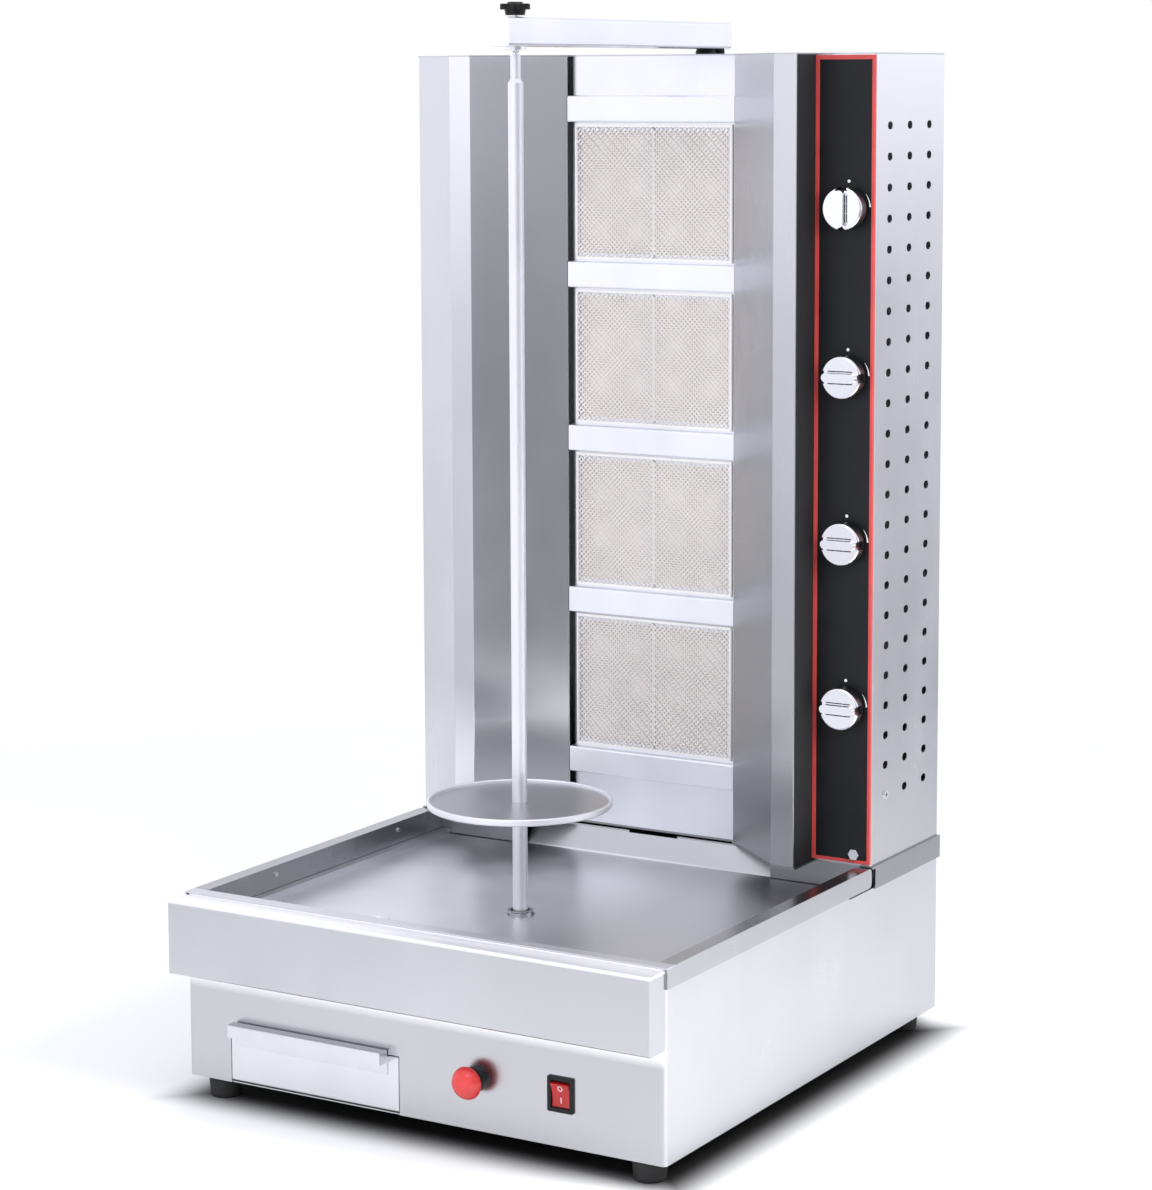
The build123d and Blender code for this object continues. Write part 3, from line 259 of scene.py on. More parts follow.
page.links.new(sides.outputs["X"], outside.inputs[0])
page.links.new(sides.outputs["Y"], outside.inputs[1])
shade = node(page, "ShaderNodeMapRange", interpolation_type="SMOOTHSTEP")
shade.inputs["From Min"].default_value = SHADE_EDGE[0]
shade.inputs["From Max"].default_value = SHADE_EDGE[1]
shade.inputs["To Min"].default_value = SHADE_GREY
shade.inputs["To Max"].default_value = PAPER_GREY
page.links.new(outside.outputs[0], shade.inputs["Value"])
grey_of = node(page, "ShaderNodeCombineColor")
for channel in ("Red", "Green", "Blue"):
    page.links.new(shade.outputs["Result"], grey_of.inputs[channel])
page.links.new(grey_of.outputs["Color"], sheet.inputs["Base Color"])
floor_mesh.materials.append(paper)
print("floor", FLOOR_R, "m")

# %% [markdown]
# Nearly all of the machine is stainless sheet: brushed outside, dull where it is hidden, and
# polished on the reflectors. One helper makes every finish. A noise stretched along one direction
# gives the fine scratches, and a slow noise the smears of handling. Both drive the roughness, but
# only the smears drive the colour, because scratches in the colour turned into loose marks in the
# picture. A picture of real steel would also work, but noise has no seams, takes no memory and
# can be stretched along any fold.

# %% Steel finishes
def new_material(name):
    """A material with its Principled shader and node tree."""
    made = bpy.data.materials.new(name)
    made.use_nodes = True
    return made, made.node_tree, made.node_tree.nodes["Principled BSDF"]


def stretched_noise(tree, scale, detail=3.0):
    """A noise over the object's own coordinates, stretched by a scale for each axis."""
    place = node(tree, "ShaderNodeTexCoord")
    stretch = node(tree, "ShaderNodeMapping", vector_type="POINT")
    stretch.inputs["Scale"].default_value = scale
    tree.links.new(place.outputs["Object"], stretch.inputs["Vector"])
    noise = node(tree, "ShaderNodeTexNoise", Scale=1.0, Detail=detail, Roughness=0.6)
    tree.links.new(stretch.outputs["Vector"], noise.inputs["Vector"])
    return noise.outputs["Fac"]


def spread(tree, value, low, high, from_low=0.3, from_high=0.7):
    """Maps a noise value onto a range."""
    span = node(tree, "ShaderNodeMapRange")
    span.inputs["From Min"].default_value = from_low
    span.inputs["From Max"].default_value = from_high
    span.inputs["To Min"].default_value = low
    span.inputs["To Max"].default_value = high
    tree.links.new(value, span.inputs["Value"])
    return span.outputs["Result"]


COOL_TINT = (0.985, 0.99, 1.035)
SMEAR_SIZE = (9, 9, 6)
# How far smears and scratches count in the roughness, and the range of their sum
SMEAR_SHARE, SCRATCH_SHARE = 0.60, 0.10
SUM_LOW, SUM_HIGH = 0.175, 0.525
# The grey where the smears are darkest and lightest
DARKEST, LIGHTEST = 0.94, 1.04


def steel(name, grey, rough, rough_spread, grain, bump=0.0, tint=COOL_TINT, anisotropy=0.0):
    """Metal with fine scratches along one direction and faint smears."""
    made, tree, shader = new_material(name)
    shader.inputs["Metallic"].default_value = 1.0
    shader.inputs["Anisotropic"].default_value = anisotropy
    scratches = stretched_noise(tree, grain)
    smears = stretched_noise(tree, SMEAR_SIZE, 2.0)
    both = node(tree, "ShaderNodeMath", operation="MULTIPLY_ADD")
    both.inputs[1].default_value = SMEAR_SHARE
    tree.links.new(smears, both.inputs[0])
    tree.links.new(times(tree, scratches, SCRATCH_SHARE), both.inputs[2])
    low, high = rough - rough_spread, rough + rough_spread
    roughness = spread(tree, both.outputs[0], low, high, SUM_LOW, SUM_HIGH)
    tree.links.new(roughness, shader.inputs["Roughness"])
    colour = node(tree, "ShaderNodeMix", data_type="RGBA")
    colour.inputs["A"].default_value = tuple(grey * DARKEST * c for c in tint) + (1,)
    colour.inputs["B"].default_value = tuple(min(1.0, grey * LIGHTEST * c) for c in tint) + (1,)
    tree.links.new(spread(tree, smears, 0, 1), colour.inputs["Factor"])
    tree.links.new(colour.outputs["Result"], shader.inputs["Base Color"])
    if bump:
        relief = node(tree, "ShaderNodeBump", Strength=bump, Distance=0.0005)
        tree.links.new(scratches, relief.inputs["Height"])
        tree.links.new(relief.outputs["Normal"], shader.inputs["Normal"])
    return made


ALONG_SHEET = (3, 3, 2600)
ALONG_UPRIGHT = (2600, 2600, 3)
ALONG_DEPTH = (2600, 3, 2600)
# Each has its grey, its roughness, how far that varies, and the stretch of its grain
finishes = {
    "brushed_sheet": steel("brushed_sheet", 0.565, 0.25, 0.04, ALONG_SHEET, anisotropy=0.3),
    "plain_sheet": steel("plain_sheet", 0.54, 0.30, 0.06, ALONG_SHEET),
    "bright_steel": steel("bright_steel", 0.80, 0.22, 0.04, (120, 120, 600), bump=0.01),
    "cast_alloy": steel("cast_alloy", 0.50, 0.48, 0.08, (300, 300, 300), bump=0.2),
    "guard_wire": steel("guard_wire", 0.95, 0.42, 0.06, (200, 200, 200), tint=(1.0, 0.985, 0.97)),
    "knob_chrome": steel("knob_chrome", 0.84, 0.12, 0.02, (60, 60, 60)),
    "brass": steel("brass", 0.80, 0.24, 0.06, (90, 600, 90), tint=(0.95, 0.76, 0.42)),
}
print("steels", sorted(finishes))

# %% [markdown]
# Some sheets are painted lighter or darker over a part of their length, as painted light and shade:
# a painted highlight on a fold or a rim, lighter or darker towards a foot or a head, and painted
# shade on an end that meets another part of the room. Their places are set along an axis in metres
# and stay put when the view changes. Most of them only bring the greys near the photo's. More lamps
# could do some of this, but each would change every other reflection as well.

# %% Painted light and shade along a piece
SPIT_Y = -0.105
# Each is an axis, where the painted light and shade starts and where it is complete
WING_FOOT = ("Z", 0.80, 0.20)
TOWER_HEAD = ("Z", 0.80, 1.03)
WING_RETURN = ("X", 0.2052, 0.2056)
SIDE_FOOT = ("Z", 0.33, 0.22)
PAN_RIGHT = ("X", 0.0, 0.10)
PAN_TAIL = ("Y", 0.1500, 0.1510)
TRAY_FRONT = ("Y", -0.2780, -0.2795)
TRAY_FLAT = ("Z", 0.2070, 0.2080)
APRON_FOLD = ("Z", 0.2030, 0.2050)
APRON_RIGHT = ("X", -0.02, 0.27)
WRAP_FRONT = ("Y", -0.2920, -0.2930)
WRAP_RIGHT = ("X", -0.05, 0.27)
WRAP_STRIPE = ("Z", 0.113, 0.128)
LEFT_WING_FOOT = ("Z", 0.36, 0.28)
LEFT_WING_HEAD = ("Z", 0.75, 1.03)
DISC_RIM = ("round", 0.0885, 0.0892)
KNOB_SIDE = ("Y", 0.1145, 0.1165)


def beyond(tree, place, axis, start, end):
    """Runs from 0 to 1 between two places along an axis, or between two radii round the spit."""
    if axis == "round":
        flat = node(tree, "ShaderNodeVectorMath", operation="MULTIPLY_ADD")
        flat.inputs[1].default_value = (1, 1, 0)
        flat.inputs[2].default_value = (0, -SPIT_Y, 0)
        tree.links.new(place, flat.inputs[0])
        measure = node(tree, "ShaderNodeVectorMath", operation="LENGTH")
        tree.links.new(flat.outputs[0], measure.inputs[0])
        along = measure.outputs["Value"]
    else:
        parts = node(tree, "ShaderNodeSeparateXYZ")
        tree.links.new(place, parts.inputs[0])
        along = parts.outputs[axis]
    return spread(tree, along, 0.0, 1.0, start, end)


def paint_light_and_shade(material, edges, grey, rough):
    """Paints light and shade into a steel, with a grey and roughness beyond all its edges, each (axis,
    start, end).
    """
    tree = material.node_tree
    shader = tree.nodes["Principled BSDF"]
    place = node(tree, "ShaderNodeTexCoord").outputs["Object"]
    inside = beyond(tree, place, *edges[0])
    for edge in edges[1:]:
        inside = times(tree, inside, beyond(tree, place, *edge))
    cool = (grey, grey, min(1.0, grey * 1.04), 1)
    for name, value in (("Base Color", cool), ("Roughness", rough)):
        before = shader.inputs[name].links[0].from_socket
        kind = "RGBA" if name == "Base Color" else "FLOAT"
        blend = node(tree, "ShaderNodeMix", data_type=kind)
        blend.inputs["B"].default_value = value
        tree.links.new(inside, blend.inputs["Factor"])
        tree.links.new(before, blend.inputs["A"])
        tree.links.new(blend.outputs["Result"], shader.inputs[name])
    return material


# The right wing has painted shade towards its foot and a painted highlight at its head, and its
# return beside the knobs is dull, with painted shade
wing_sheet = steel("wing_sheet", 0.60, 0.27, 0.04, ALONG_UPRIGHT, anisotropy=0.6)
paint_light_and_shade(wing_sheet, [WING_FOOT], 0.41, 0.27)
paint_light_and_shade(wing_sheet, [TOWER_HEAD], 0.64, 0.27)
paint_light_and_shade(wing_sheet, [WING_RETURN], 0.08, 0.75)
# The tower's right side has a painted highlight at its head and painted shade at its foot
side_sheet = steel("side_sheet", 0.66, 0.26, 0.05, ALONG_UPRIGHT)
paint_light_and_shade(side_sheet, [TOWER_HEAD], 0.84, 0.26)
paint_light_and_shade(side_sheet, [SIDE_FOOT], 0.50, 0.26)
# The right half of the pan and its tail are darkened with painted shade, only to come near the photo's
# greys
pan_steel = steel("dish_sheet", 0.82, 0.35, 0.05, ALONG_DEPTH)
paint_light_and_shade(pan_steel, [PAN_RIGHT], 0.60, 0.36)
paint_light_and_shade(pan_steel, [PAN_TAIL], 0.56, 0.34)
# The flat top of the tray's front and the fold over the apron are lighter, as painted highlights,
# and the front and the apron darker towards the right, as painted shade, only to come near the
# photo's greys
band_sheet = steel("band_sheet", 0.44, 0.26, 0.05, ALONG_SHEET)
paint_light_and_shade(band_sheet, [TRAY_FRONT, TRAY_FLAT], 0.72, 0.42)
apron_sheet = steel("apron_sheet", 0.565, 0.25, 0.04, ALONG_SHEET, anisotropy=0.3)
paint_light_and_shade(apron_sheet, [APRON_RIGHT], 0.50, 0.25)
paint_light_and_shade(apron_sheet, [APRON_FOLD], 0.98, 0.5)
# The base's front is darker than its sides, as painted shade, and a band under the apron lighter, as a
# painted highlight
wrap_sheet = steel("wrap_sheet", 0.565, 0.25, 0.04, ALONG_SHEET, anisotropy=0.3)
paint_light_and_shade(wrap_sheet, [WRAP_FRONT], 0.52, 0.25)
paint_light_and_shade(wrap_sheet, [WRAP_RIGHT, WRAP_FRONT], 0.45, 0.25)
paint_light_and_shade(wrap_sheet, [WRAP_STRIPE, WRAP_FRONT], 1.0, 0.4)
# The left wing is lighter towards its foot and its head, as painted light
left_wing = steel("left_wing_sheet", 0.64, 0.20, 0.04, ALONG_UPRIGHT, anisotropy=0.75)
paint_light_and_shade(left_wing, [LEFT_WING_FOOT], 0.78, 0.22)
paint_light_and_shade(left_wing, [LEFT_WING_HEAD], 0.76, 0.20)
# The disc's rim is lighter, as a painted highlight
disc_sheet = steel("disc_sheet", 0.52, 0.34, 0.05, (200, 200, 200))
paint_light_and_shade(disc_sheet, [DISC_RIM], 0.86, 0.5)
# Pieces of the same sheet made lighter or darker, as painted light and shade, some also with another
# roughness
lit_and_shaded_steels = {
    "base_wrap": wrap_sheet,
    "wing_left": left_wing,
    "front_apron": apron_sheet,
    "wing_right": wing_sheet,
    "spit_rod": steel("ground_rod", 0.90, 0.46, 0.04, (200, 200, 500)),
    "spit_disc": disc_sheet,
    "drip_pan": pan_steel,
    "drawer_handle": steel("handle_sheet", 0.70, 0.36, 0.05, ALONG_SHEET),
    "tower_side_right": side_sheet,
    "tower_side_left": steel("side_sheet_left", 0.66, 0.26, 0.05, ALONG_UPRIGHT),
    "drawer_front": steel("drawer_sheet", 0.70, 0.26, 0.05, ALONG_SHEET, anisotropy=0.3),
    "tray_frame": band_sheet,
    "spindle_collar": steel("collar_steel", 0.42, 0.20, 0.04, (120, 120, 600)),
    "tower_base": steel("base_band_sheet", 0.31, 0.30, 0.05, ALONG_SHEET),
    "column_panel": steel("column_sheet", 0.88, 0.28, 0.02, ALONG_SHEET),
    "cross_bars": steel("bar_sheet", 0.90, 0.30, 0.03, ALONG_SHEET),
    "top_arm": steel("arm_sheet", 0.90, 0.26, 0.05, ALONG_DEPTH),
}
# The sides of the knobs are painted dark, as painted shade
paint_light_and_shade(finishes["knob_chrome"], [KNOB_SIDE], 0.14, 0.35)
print("finished another way", len(lit_and_shaded_steels))

# %% [markdown]
# The other finishes: moulded black plastic with a faint grain, the smooth black laminate of the
# control strip, red edging and buttons with a clear coat, rubber, black enamel and the ceramic.
# Each is one Principled shader with its own noise, since even a plain moulding isn't one colour.

# %% Plastics, rubber and enamel
def moulded(name, colour, rough, grain, bump, coat=0.0, mottle=0.12, shine=0.5):
    """A moulded or painted finish with slight mottling and grain."""
    made, tree, shader = new_material(name)
    shader.inputs["Coat Weight"].default_value = coat
    shader.inputs["Specular IOR Level"].default_value = shine
    shader.inputs["Coat Roughness"].default_value = 0.08
    speckle = stretched_noise(tree, (grain, grain, grain))
    cloud = stretched_noise(tree, (25, 25, 25), 2.0)
    shade = node(tree, "ShaderNodeMix", data_type="RGBA")
    shade.inputs["A"].default_value = tuple(c * (1 - mottle) for c in colour) + (1,)
    shade.inputs["B"].default_value = tuple(min(1.0, c * (1 + mottle)) for c in colour) + (1,)
    tree.links.new(spread(tree, cloud, 0, 1), shade.inputs["Factor"])
    tree.links.new(shade.outputs["Result"], shader.inputs["Base Color"])
    tree.links.new(spread(tree, cloud, rough * 0.85, rough * 1.15), shader.inputs["Roughness"])
    relief = node(tree, "ShaderNodeBump", Strength=bump, Distance=0.0003)
    tree.links.new(speckle, relief.inputs["Height"])
    tree.links.new(relief.outputs["Normal"], shader.inputs["Normal"])
    return made


finishes.update({
    "black_plastic": moulded("black_plastic", (0.008, 0.008, 0.009), 0.42, 900, 0.2, shine=0.25),
    "black_panel": moulded("black_panel", (0.008, 0.0085, 0.010), 0.42, 500, 0.0, shine=0.24),
    "rubber": moulded("rubber", (0.020, 0.020, 0.020), 0.75, 700, 0.35),
    "motor_paint": moulded("motor_paint", (0.05, 0.05, 0.055), 0.4, 400, 0.2),
    "red_trim": moulded("red_trim", (0.50, 0.055, 0.05), 0.45, 500, 0.02),
    "red_button": moulded("red_button", (0.66, 0.030, 0.028), 0.20, 500, 0.02, coat=0.6, shine=0.4),
    "red_key": moulded("red_key", (0.42, 0.010, 0.010), 0.22, 500, 0.02, coat=0.4, shine=0.3),
    "ceramic": moulded("ceramic", (0.93, 0.87, 0.82), 0.8, 900, 0.4, mottle=0.05),
})
print("finishes", len(finishes))

# %% [markdown]
# The ceramic plates are pierced all over: the gas burns in rows of flame holes about a millimetre
# wide. Thousands of modelled holes behind a wire cloth would cost much and show little, so the
# material draws them from the plate's own coordinates, darkens them with painted shade and sinks
# them with its bump.

# %% Flame holes
HOLE_PITCH = 0.0026
HOLE_R = 0.00062
plate = finishes["ceramic"].node_tree
plate_shader = plate.nodes["Principled BSDF"]
place = node(plate, "ShaderNodeTexCoord")
cells = node(plate, "ShaderNodeVectorMath", operation="SCALE")
cells.inputs["Scale"].default_value = 1 / HOLE_PITCH
plate.links.new(place.outputs["Object"], cells.inputs[0])
inside_cell = node(plate, "ShaderNodeVectorMath", operation="FRACTION")
plate.links.new(cells.outputs[0], inside_cell.inputs[0])
from_middle = node(plate, "ShaderNodeVectorMath", operation="MULTIPLY_ADD")
from_middle.inputs[1].default_value = (1, 0, 1)
from_middle.inputs[2].default_value = (-0.5, 0, -0.5)
plate.links.new(inside_cell.outputs[0], from_middle.inputs[0])
reach = node(plate, "ShaderNodeVectorMath", operation="LENGTH")
plate.links.new(from_middle.outputs[0], reach.inputs[0])
hole = HOLE_R / HOLE_PITCH
pierced = spread(plate, reach.outputs["Value"], 1.0, 0.0, 0.9 * hole, 1.2 * hole)
# Each hole is darkened with painted shade, for the shadow inside it
painted_hole_shade = node(plate, "ShaderNodeMix", data_type="RGBA")
painted_hole_shade.inputs["B"].default_value = (0.40, 0.32, 0.27, 1)
plate.links.new(plate_shader.inputs["Base Color"].links[0].from_socket, painted_hole_shade.inputs["A"])
plate.links.new(pierced, painted_hole_shade.inputs["Factor"])
plate.links.new(painted_hole_shade.outputs["Result"], plate_shader.inputs["Base Color"])
sunk = node(plate, "ShaderNodeBump", Strength=0.6, Distance=0.0006, invert=True)
plate.links.new(pierced, sunk.inputs["Height"])
plate.links.new(plate_shader.inputs["Normal"].links[0].from_socket, sunk.inputs["Normal"])
plate.links.new(sunk.outputs["Normal"], plate_shader.inputs["Normal"])
print("flame holes", round(1000 * HOLE_PITCH, 1), "mm apart")

# %% [markdown]
# Every CAD node takes the finish that the record names for it, unless it has a steel of its own
# above, made lighter or darker as painted light and shade.

# %% Paint the frame
slot_of = {part["node"]: part["material_slot"] for part in frame["record"]["subparts"]}
for name, piece in frame["nodes"].items():
    finish = lit_and_shaded_steels[name] if name in lit_and_shaded_steels else finishes[slot_of[name]]
    for place in piece.material_slots:
        place.material = finish
print("painted", len(slot_of))

# %% [markdown]
# Before each burner stands a guard: a flat wire frame with one middle wire, covered with a fine
# woven wire cloth set on its corner. The CAD guard has an open coarse mesh that collides well but
# looks nothing like cloth. A bump or a cut-out picture would do from far away, but real wires
# give real shadows on the ceramic, so every wire is a four-sided tube that goes over one wire
# and under the next.

# %% Burner guards
BURNER_Z = [0.3649, 0.5396, 0.7143, 0.8890]
GUARD_HALF_W, GUARD_HALF_H = 0.0945, 0.0715
GUARD_BACK, GUARD_FRONT = 0.1660, 0.1630
FRAME_WIRE = 0.0030
CLOTH_PITCH = 0.0039
CLOTH_WIRE_R = 0.00058
CLOTH_Y = 0.1646
SHORTEST_WIRE = 0.002


def new_piece(name, mesh, body, finish):
    """Turns a bmesh into a named piece that rides on a body."""
    data = bpy.data.meshes.new(name)
    mesh.to_mesh(data)
    mesh.free()
    data.materials.append(finish)
    piece = bpy.data.objects.new(name, data)
    bpy.context.collection.objects.link(piece)
    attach(piece, body)
    return piece


def add_tube(mesh, path, radius, sides=4):
    """A closed tube along a path of points."""
    rings = []
    for i, point in enumerate(path):
        along = (path[min(i + 1, len(path) - 1)] - path[max(i - 1, 0)]).normalized()
        across = along.cross(Vector((0, 1, 0))).normalized()
        upward = across.cross(along)
        ring = []
        for k in range(sides):
            turn = 2 * math.pi * (k + 0.5) / sides
            outward = math.cos(turn) * across + math.sin(turn) * upward
            ring.append(mesh.verts.new(point + radius * outward))
        rings.append(ring)
    for first, second in zip(rings, rings[1:]):
        for k in range(sides):
            n = (k + 1) % sides
            mesh.faces.new((first[k], first[n], second[n], second[k]))
    mesh.faces.new(list(reversed(rings[0])))
    mesh.faces.new(rings[-1])


def cloth_wires(mesh, centre_z, half_w, half_h):
    """Two families of slanting wires that weave over and under each other."""
    step = CLOTH_PITCH * math.sqrt(2)
    count = int((half_w + half_h) / step)
    for slope in (1, -1):
        for i in range(-count, count + 1):
            shift = i * step
            low = max(-half_w, (-half_h - shift) if slope > 0 else (shift - half_h))
            high = min(half_w, (half_h - shift) if slope > 0 else (shift + half_h))
            if high - low < SHORTEST_WIRE:
                continue
            places = [low]
            x = math.ceil(low / (step / 2)) * step / 2
            while x < high:
                if x > low + 1e-5:
                    places.append(x)
                x += step / 2
            places.append(high)
            path = []
            for x in places:
                z = (x + shift) if slope > 0 else (shift - x)
                cell = round(x / (step / 2))
                lift = CLOTH_WIRE_R * (1 if (cell + i) % 2 == 0 else -1) * slope
                path.append(Vector((x, CLOTH_Y + lift, centre_z + z)))
            add_tube(mesh, path, CLOTH_WIRE_R)


def frame_ring(mesh, centre_z):
    """The guard's frame and its middle wire, as flat bars with softened edges."""
    across = (-GUARD_HALF_W, GUARD_HALF_W)
    between = (-GUARD_HALF_H + FRAME_WIRE, GUARD_HALF_H - FRAME_WIRE)
    wires = [
        (across, (GUARD_HALF_H - FRAME_WIRE, GUARD_HALF_H)),
        (across, (-GUARD_HALF_H, -GUARD_HALF_H + FRAME_WIRE)),
        ((-GUARD_HALF_W, -GUARD_HALF_W + FRAME_WIRE), between),
        ((GUARD_HALF_W - FRAME_WIRE, GUARD_HALF_W), between),
        ((-FRAME_WIRE / 2, FRAME_WIRE / 2), between),
    ]
    for (x0, x1), (z0, z1) in wires:
        made = bmesh.ops.create_cube(mesh, size=1)["verts"]
        front = GUARD_FRONT if x0 * x1 >= 0 or x1 - x0 > 0.1 else CLOTH_Y + 3 * CLOTH_WIRE_R
        bmesh.ops.scale(mesh, vec=(x1 - x0, GUARD_BACK - front, z1 - z0), verts=made)
        middle = ((x0 + x1) / 2, (GUARD_BACK + front) / 2, centre_z + (z0 + z1) / 2)
        bmesh.ops.translate(mesh, vec=middle, verts=made)
        edges = list({edge for vert in made for edge in vert.link_edges})
        softening = min(0.0007, (GUARD_BACK - front) * 0.3)
        bmesh.ops.bevel(mesh, geom=edges, offset=softening, segments=2, affect="EDGES")


guard_mesh = bmesh.new()
for centre_z in BURNER_Z:
    frame_ring(guard_mesh, centre_z)
    cloth_wires(guard_mesh, centre_z, GUARD_HALF_W - FRAME_WIRE * 0.6, GUARD_HALF_H - FRAME_WIRE * 0.6)
guards = new_piece("burner_cloth", guard_mesh, "grill", finishes["guard_wire"])
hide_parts("burner_guards")
print("guard faces", len(guards.data.polygons))

# %% [markdown]
# The control strip carries printed marks: a dot above each knob for off, and a wedge that grows
# round its side for the flame. Marks are thin raised shapes, because a print has a little body of
# its own and stays sharp from any distance. The same helper makes the two marks of the rocker and
# the lines of painted shade on each knob, laid on the surface that lies below them.

# %% Printed marks
def laid_on(node_name, outlines, body, name, finish, lift=0.00008, thick=0.00012):
    """Flat outlines in x and z, each laid on the front of a CAD node and given a thickness."""
    target = frame["nodes"][node_name]
    target_mesh = bmesh.new()
    target_mesh.from_mesh(target.data)
    tree = BVHTree.FromBMesh(target_mesh)
    made = bmesh.new()
    for outline in outlines:
        front, back = [], []
        for x, z in outline:
            hit = tree.ray_cast(Vector((x, -0.6, z)), Vector((0, 1, 0)))[0]
            front.append(made.verts.new((x, hit.y - lift - thick, z)))
            back.append(made.verts.new((x, hit.y - lift, z)))
        for i in range(len(outline)):
            n = (i + 1) % len(outline)
            made.faces.new((front[i], front[n], back[n], back[i]))
        made.faces.new(front)
        made.faces.new(list(reversed(back)))
    bmesh.ops.recalc_face_normals(made, faces=made.faces[:])
    target_mesh.free()
    return new_piece(name, made, body, finish)


def round_mark(x, z, radius, count=20):
    """A round spot."""
    turns = [2 * math.pi * i / count for i in range(count)]
    return [(x + radius * math.cos(turn), z + radius * math.sin(turn)) for turn in turns]


def wedge_mark(x, z, radius, start, end, thin, wide, count=14):
    """A curved wedge round a knob that grows from thin to wide, angles in degrees from the right."""
    outer, inner = [], []
    for i in range(count + 1):
        turn = math.radians(start + (end - start) * i / count)
        half = (thin + (wide - thin) * i / count) / 2
        outer.append((x + (radius + half) * math.cos(turn), z + (radius + half) * math.sin(turn)))
        inner.append((x + (radius - half) * math.cos(turn), z + (radius - half) * math.sin(turn)))
    return outer + list(reversed(inner))


KNOB_AT = {1: (0.244, 0.8785), 2: (0.244, 0.7100), 3: (0.244, 0.5415), 4: (0.244, 0.3730)}
print_white = moulded("print_white", (0.80, 0.80, 0.78), 0.5, 600, 0.0, mottle=0.05)
# The dot's place above a knob and its radius, then the wedge's radius, ends in degrees and widths
DOT_UP, DOT_R = 0.0270, 0.0016
WEDGE_R = 0.0236
WEDGE_ENDS = (38, 4)
WEDGE_WIDTHS = (0.0002, 0.0016)
strip_marks = []
for number, (x, z) in KNOB_AT.items():
    strip_marks.append(round_mark(x, z + DOT_UP, DOT_R))
    strip_marks.append(wedge_mark(x, z, WEDGE_R, *WEDGE_ENDS, *WEDGE_WIDTHS))
laid_on("control_strip", strip_marks, "grill", "strip_marks", print_white)
print("strip marks", len(strip_marks))

# %% [markdown]
# Beside each knob's grip lie dark lines of painted shade, where its hollows fall in shadow, and a
# rocker has its two states on its face: a bar for on and a ring for off. Both are thin shapes laid on
# the CAD surface as well.

# %% Painted shade beside the knob grips, and rocker marks
GRIP_TURN = {1: 0.0, 2: 90.0, 3: 90.0, 4: 90.0}
# The lines of painted shade beside a grip, in parts that each lie flat on the cap
LINE_X, LINE_HALF_W = 0.0062, 0.00055
LINE_PARTS = ((-0.0135, -0.0045), (-0.0040, 0.0050), (0.0055, 0.0135))


def turned_about(points, x, z, degrees):
    """Points turned about a centre in the x and z plane."""
    turn = math.radians(degrees)
    c, n = math.cos(turn), math.sin(turn)
    return [(x + c * (px - x) - n * (pz - z), z + n * (px - x) + c * (pz - z)) for px, pz in points]


def bar_mark(x, z, half_w, half_h, steps=6):
    """A narrow upright bar, divided along its height so that it can follow a curved face."""
    right = [(x + half_w, z - half_h + 2 * half_h * i / steps) for i in range(steps + 1)]
    left = [(x - half_w, z + half_h - 2 * half_h * i / steps) for i in range(steps + 1)]
    return right + left


painted_recess_shade = moulded("painted_recess_shade", (0.012, 0.012, 0.013), 0.5, 500, 0.0, shine=0.3)
for number, (x, z) in KNOB_AT.items():
    shade_lines = []
    for side in (-1, 1):
        for z0, z1 in LINE_PARTS:
            bar = bar_mark(x + side * LINE_X, z + (z0 + z1) / 2, LINE_HALF_W, (z1 - z0) / 2, 1)
            shade_lines.append(turned_about(bar, x, z, -GRIP_TURN[number]))
    cap, body = f"knob_{number}_cap", f"gas_knob_{number}"
    laid_on(cap, shade_lines, body, f"knob_{number}_lines", painted_recess_shade)

ROCKER_X, ROCKER_Z = 0.1615, 0.0725
# How far the ring and the bar lie from the key's middle, and their sizes
MARK_OFFSET = 0.0058
RING_OUT_R, RING_IN_R, RING_POINTS = 0.0026, 0.0019, 20
BAR_HALF_W, BAR_HALF_H = 0.0005, 0.0028
ring = round_mark(ROCKER_X, ROCKER_Z + MARK_OFFSET, RING_OUT_R, RING_POINTS)
inside = round_mark(ROCKER_X, ROCKER_Z + MARK_OFFSET, RING_IN_R, RING_POINTS)
rocker_marks = [bar_mark(ROCKER_X, ROCKER_Z - MARK_OFFSET, BAR_HALF_W, BAR_HALF_H)]
for i in range(RING_POINTS):
    n = (i + 1) % RING_POINTS
    rocker_marks.append([ring[i], ring[n], inside[n], inside[i]])
laid_on("rocker_key", rocker_marks, "rocker", "rocker_marks", print_white)
print("knob lines and rocker marks laid")

# %% [markdown]
# The small screws show a crossed recess. A recess cut into the CAD heads would cost many faces, so
# each is a dark cross of painted shade laid a tenth of a millimetre proud of its head, thin enough to
# read as a cut.

# %% Screw recesses
BACK_X = 0.262
# Height of each screw, and how far back the face lies that it sits on
BACK_ROWS = ((0.040, 0.2935), (0.196, 0.2965), (0.320, 0.2935), (0.660, 0.2935), (1.010, 0.2935))
HEAD_H = 0.0018
ARM_SCREW_Y = 0.2985
SIDE_SCREW = (0.2743, 0.165, 0.2784)
CROSS_REACH, SIDE_CROSS_REACH, CROSS_HALF = 0.0026, 0.0028, 0.0005
SCREW_HEADS = []
for x in (-BACK_X, BACK_X):
    for z, y in BACK_ROWS:
        SCREW_HEADS.append(((x, y + HEAD_H, z), (0, 1, 0), CROSS_REACH))
for z in (0.985, 1.010):
    SCREW_HEADS.append(((0, ARM_SCREW_Y, z), (0, 1, 0), CROSS_REACH))
for side in (-1, 1):
    x, y, z = SIDE_SCREW
    SCREW_HEADS.append(((side * x, y, z), (side, 0, 0), SIDE_CROSS_REACH))


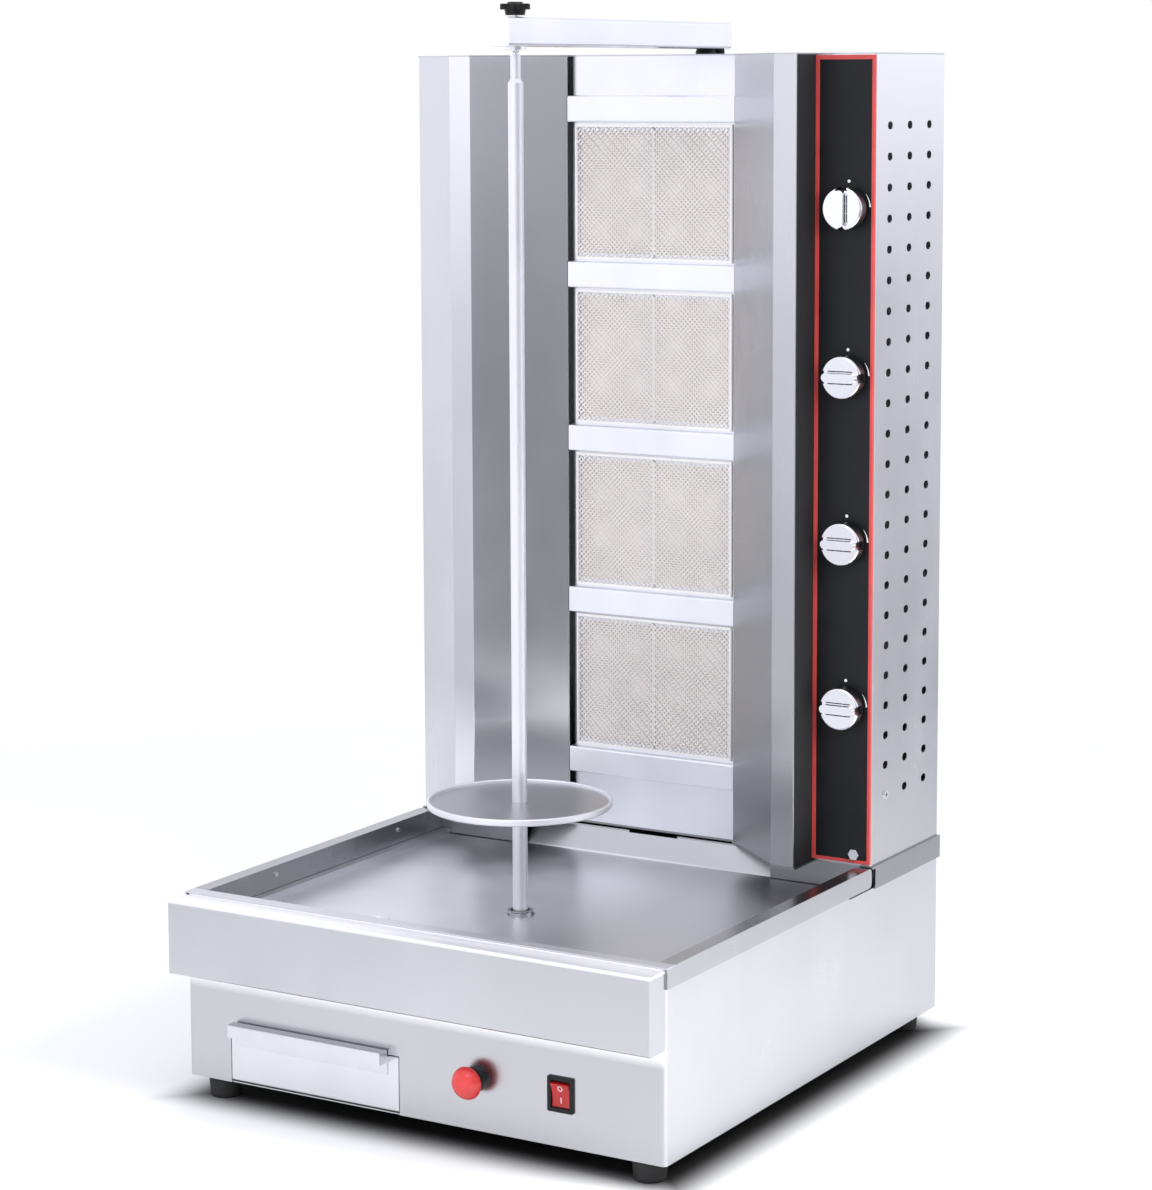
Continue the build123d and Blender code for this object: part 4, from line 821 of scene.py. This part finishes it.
def cross_outline(reach, half):
    """The twelve corners of a cross."""
    r, h = reach, half
    return [
        (h, h), (h, r), (-h, r), (-h, h), (-r, h), (-r, -h),
        (-h, -h), (-h, -r), (h, -r), (h, -h), (r, -h), (r, h),
    ]


recess_mesh = bmesh.new()
for head, facing, reach in SCREW_HEADS:
    turn = Vector(facing).to_track_quat("Z", "Y").to_matrix()
    layers = []
    for lift in (0.00010, -0.00010):
        corners = [Vector(head) + turn @ Vector((a, b, lift)) for a, b in cross_outline(reach, CROSS_HALF)]
        layers.append([recess_mesh.verts.new(corner) for corner in corners])
    top, low = layers
    for i in range(12):
        n = (i + 1) % 12
        recess_mesh.faces.new((top[i], low[i], low[n], top[n]))
    recess_mesh.faces.new(top)
    recess_mesh.faces.new(list(reversed(low)))
bmesh.ops.recalc_face_normals(recess_mesh, faces=recess_mesh.faces[:])
new_piece("screw_recesses", recess_mesh, "grill", painted_recess_shade)
print("screw recesses", len(SCREW_HEADS))

# %% [markdown]
# The drain hole in the pan has a low ring round it. The ring is a guess, because the photo shows
# only a small dark mark there. The pan's own sheet could be dented in the mesh, but a ring of its
# own leaves the CAD piece untouched.

# %% Drain ring
DRAIN_AT = (-0.108, -0.204)
# Radius and height of the ring's section, from its inner foot to its outer one
RING_PROFILE = [
    (0.0112, 0.1790), (0.0120, 0.1808), (0.0138, 0.1814), (0.0156, 0.1808), (0.0168, 0.1790),
]
RING_STEPS = 48
ring_mesh = bmesh.new()
hoops = []
for step in range(RING_STEPS):
    angle = 2 * math.pi * step / RING_STEPS
    c, n = math.cos(angle), math.sin(angle)
    places = [(DRAIN_AT[0] + r * c, DRAIN_AT[1] + r * n, z) for r, z in RING_PROFILE]
    hoops.append([ring_mesh.verts.new(place) for place in places])
for here, there in zip(hoops, hoops[1:] + hoops[:1]):
    for k in range(len(RING_PROFILE)):
        after = (k + 1) % len(RING_PROFILE)
        ring_mesh.faces.new((here[k], here[after], there[after], there[k]))
bmesh.ops.recalc_face_normals(ring_mesh, faces=ring_mesh.faces)
new_piece("drain_ring", ring_mesh, "grill", finishes["bright_steel"])
print("drain ring", RING_STEPS, "steps")
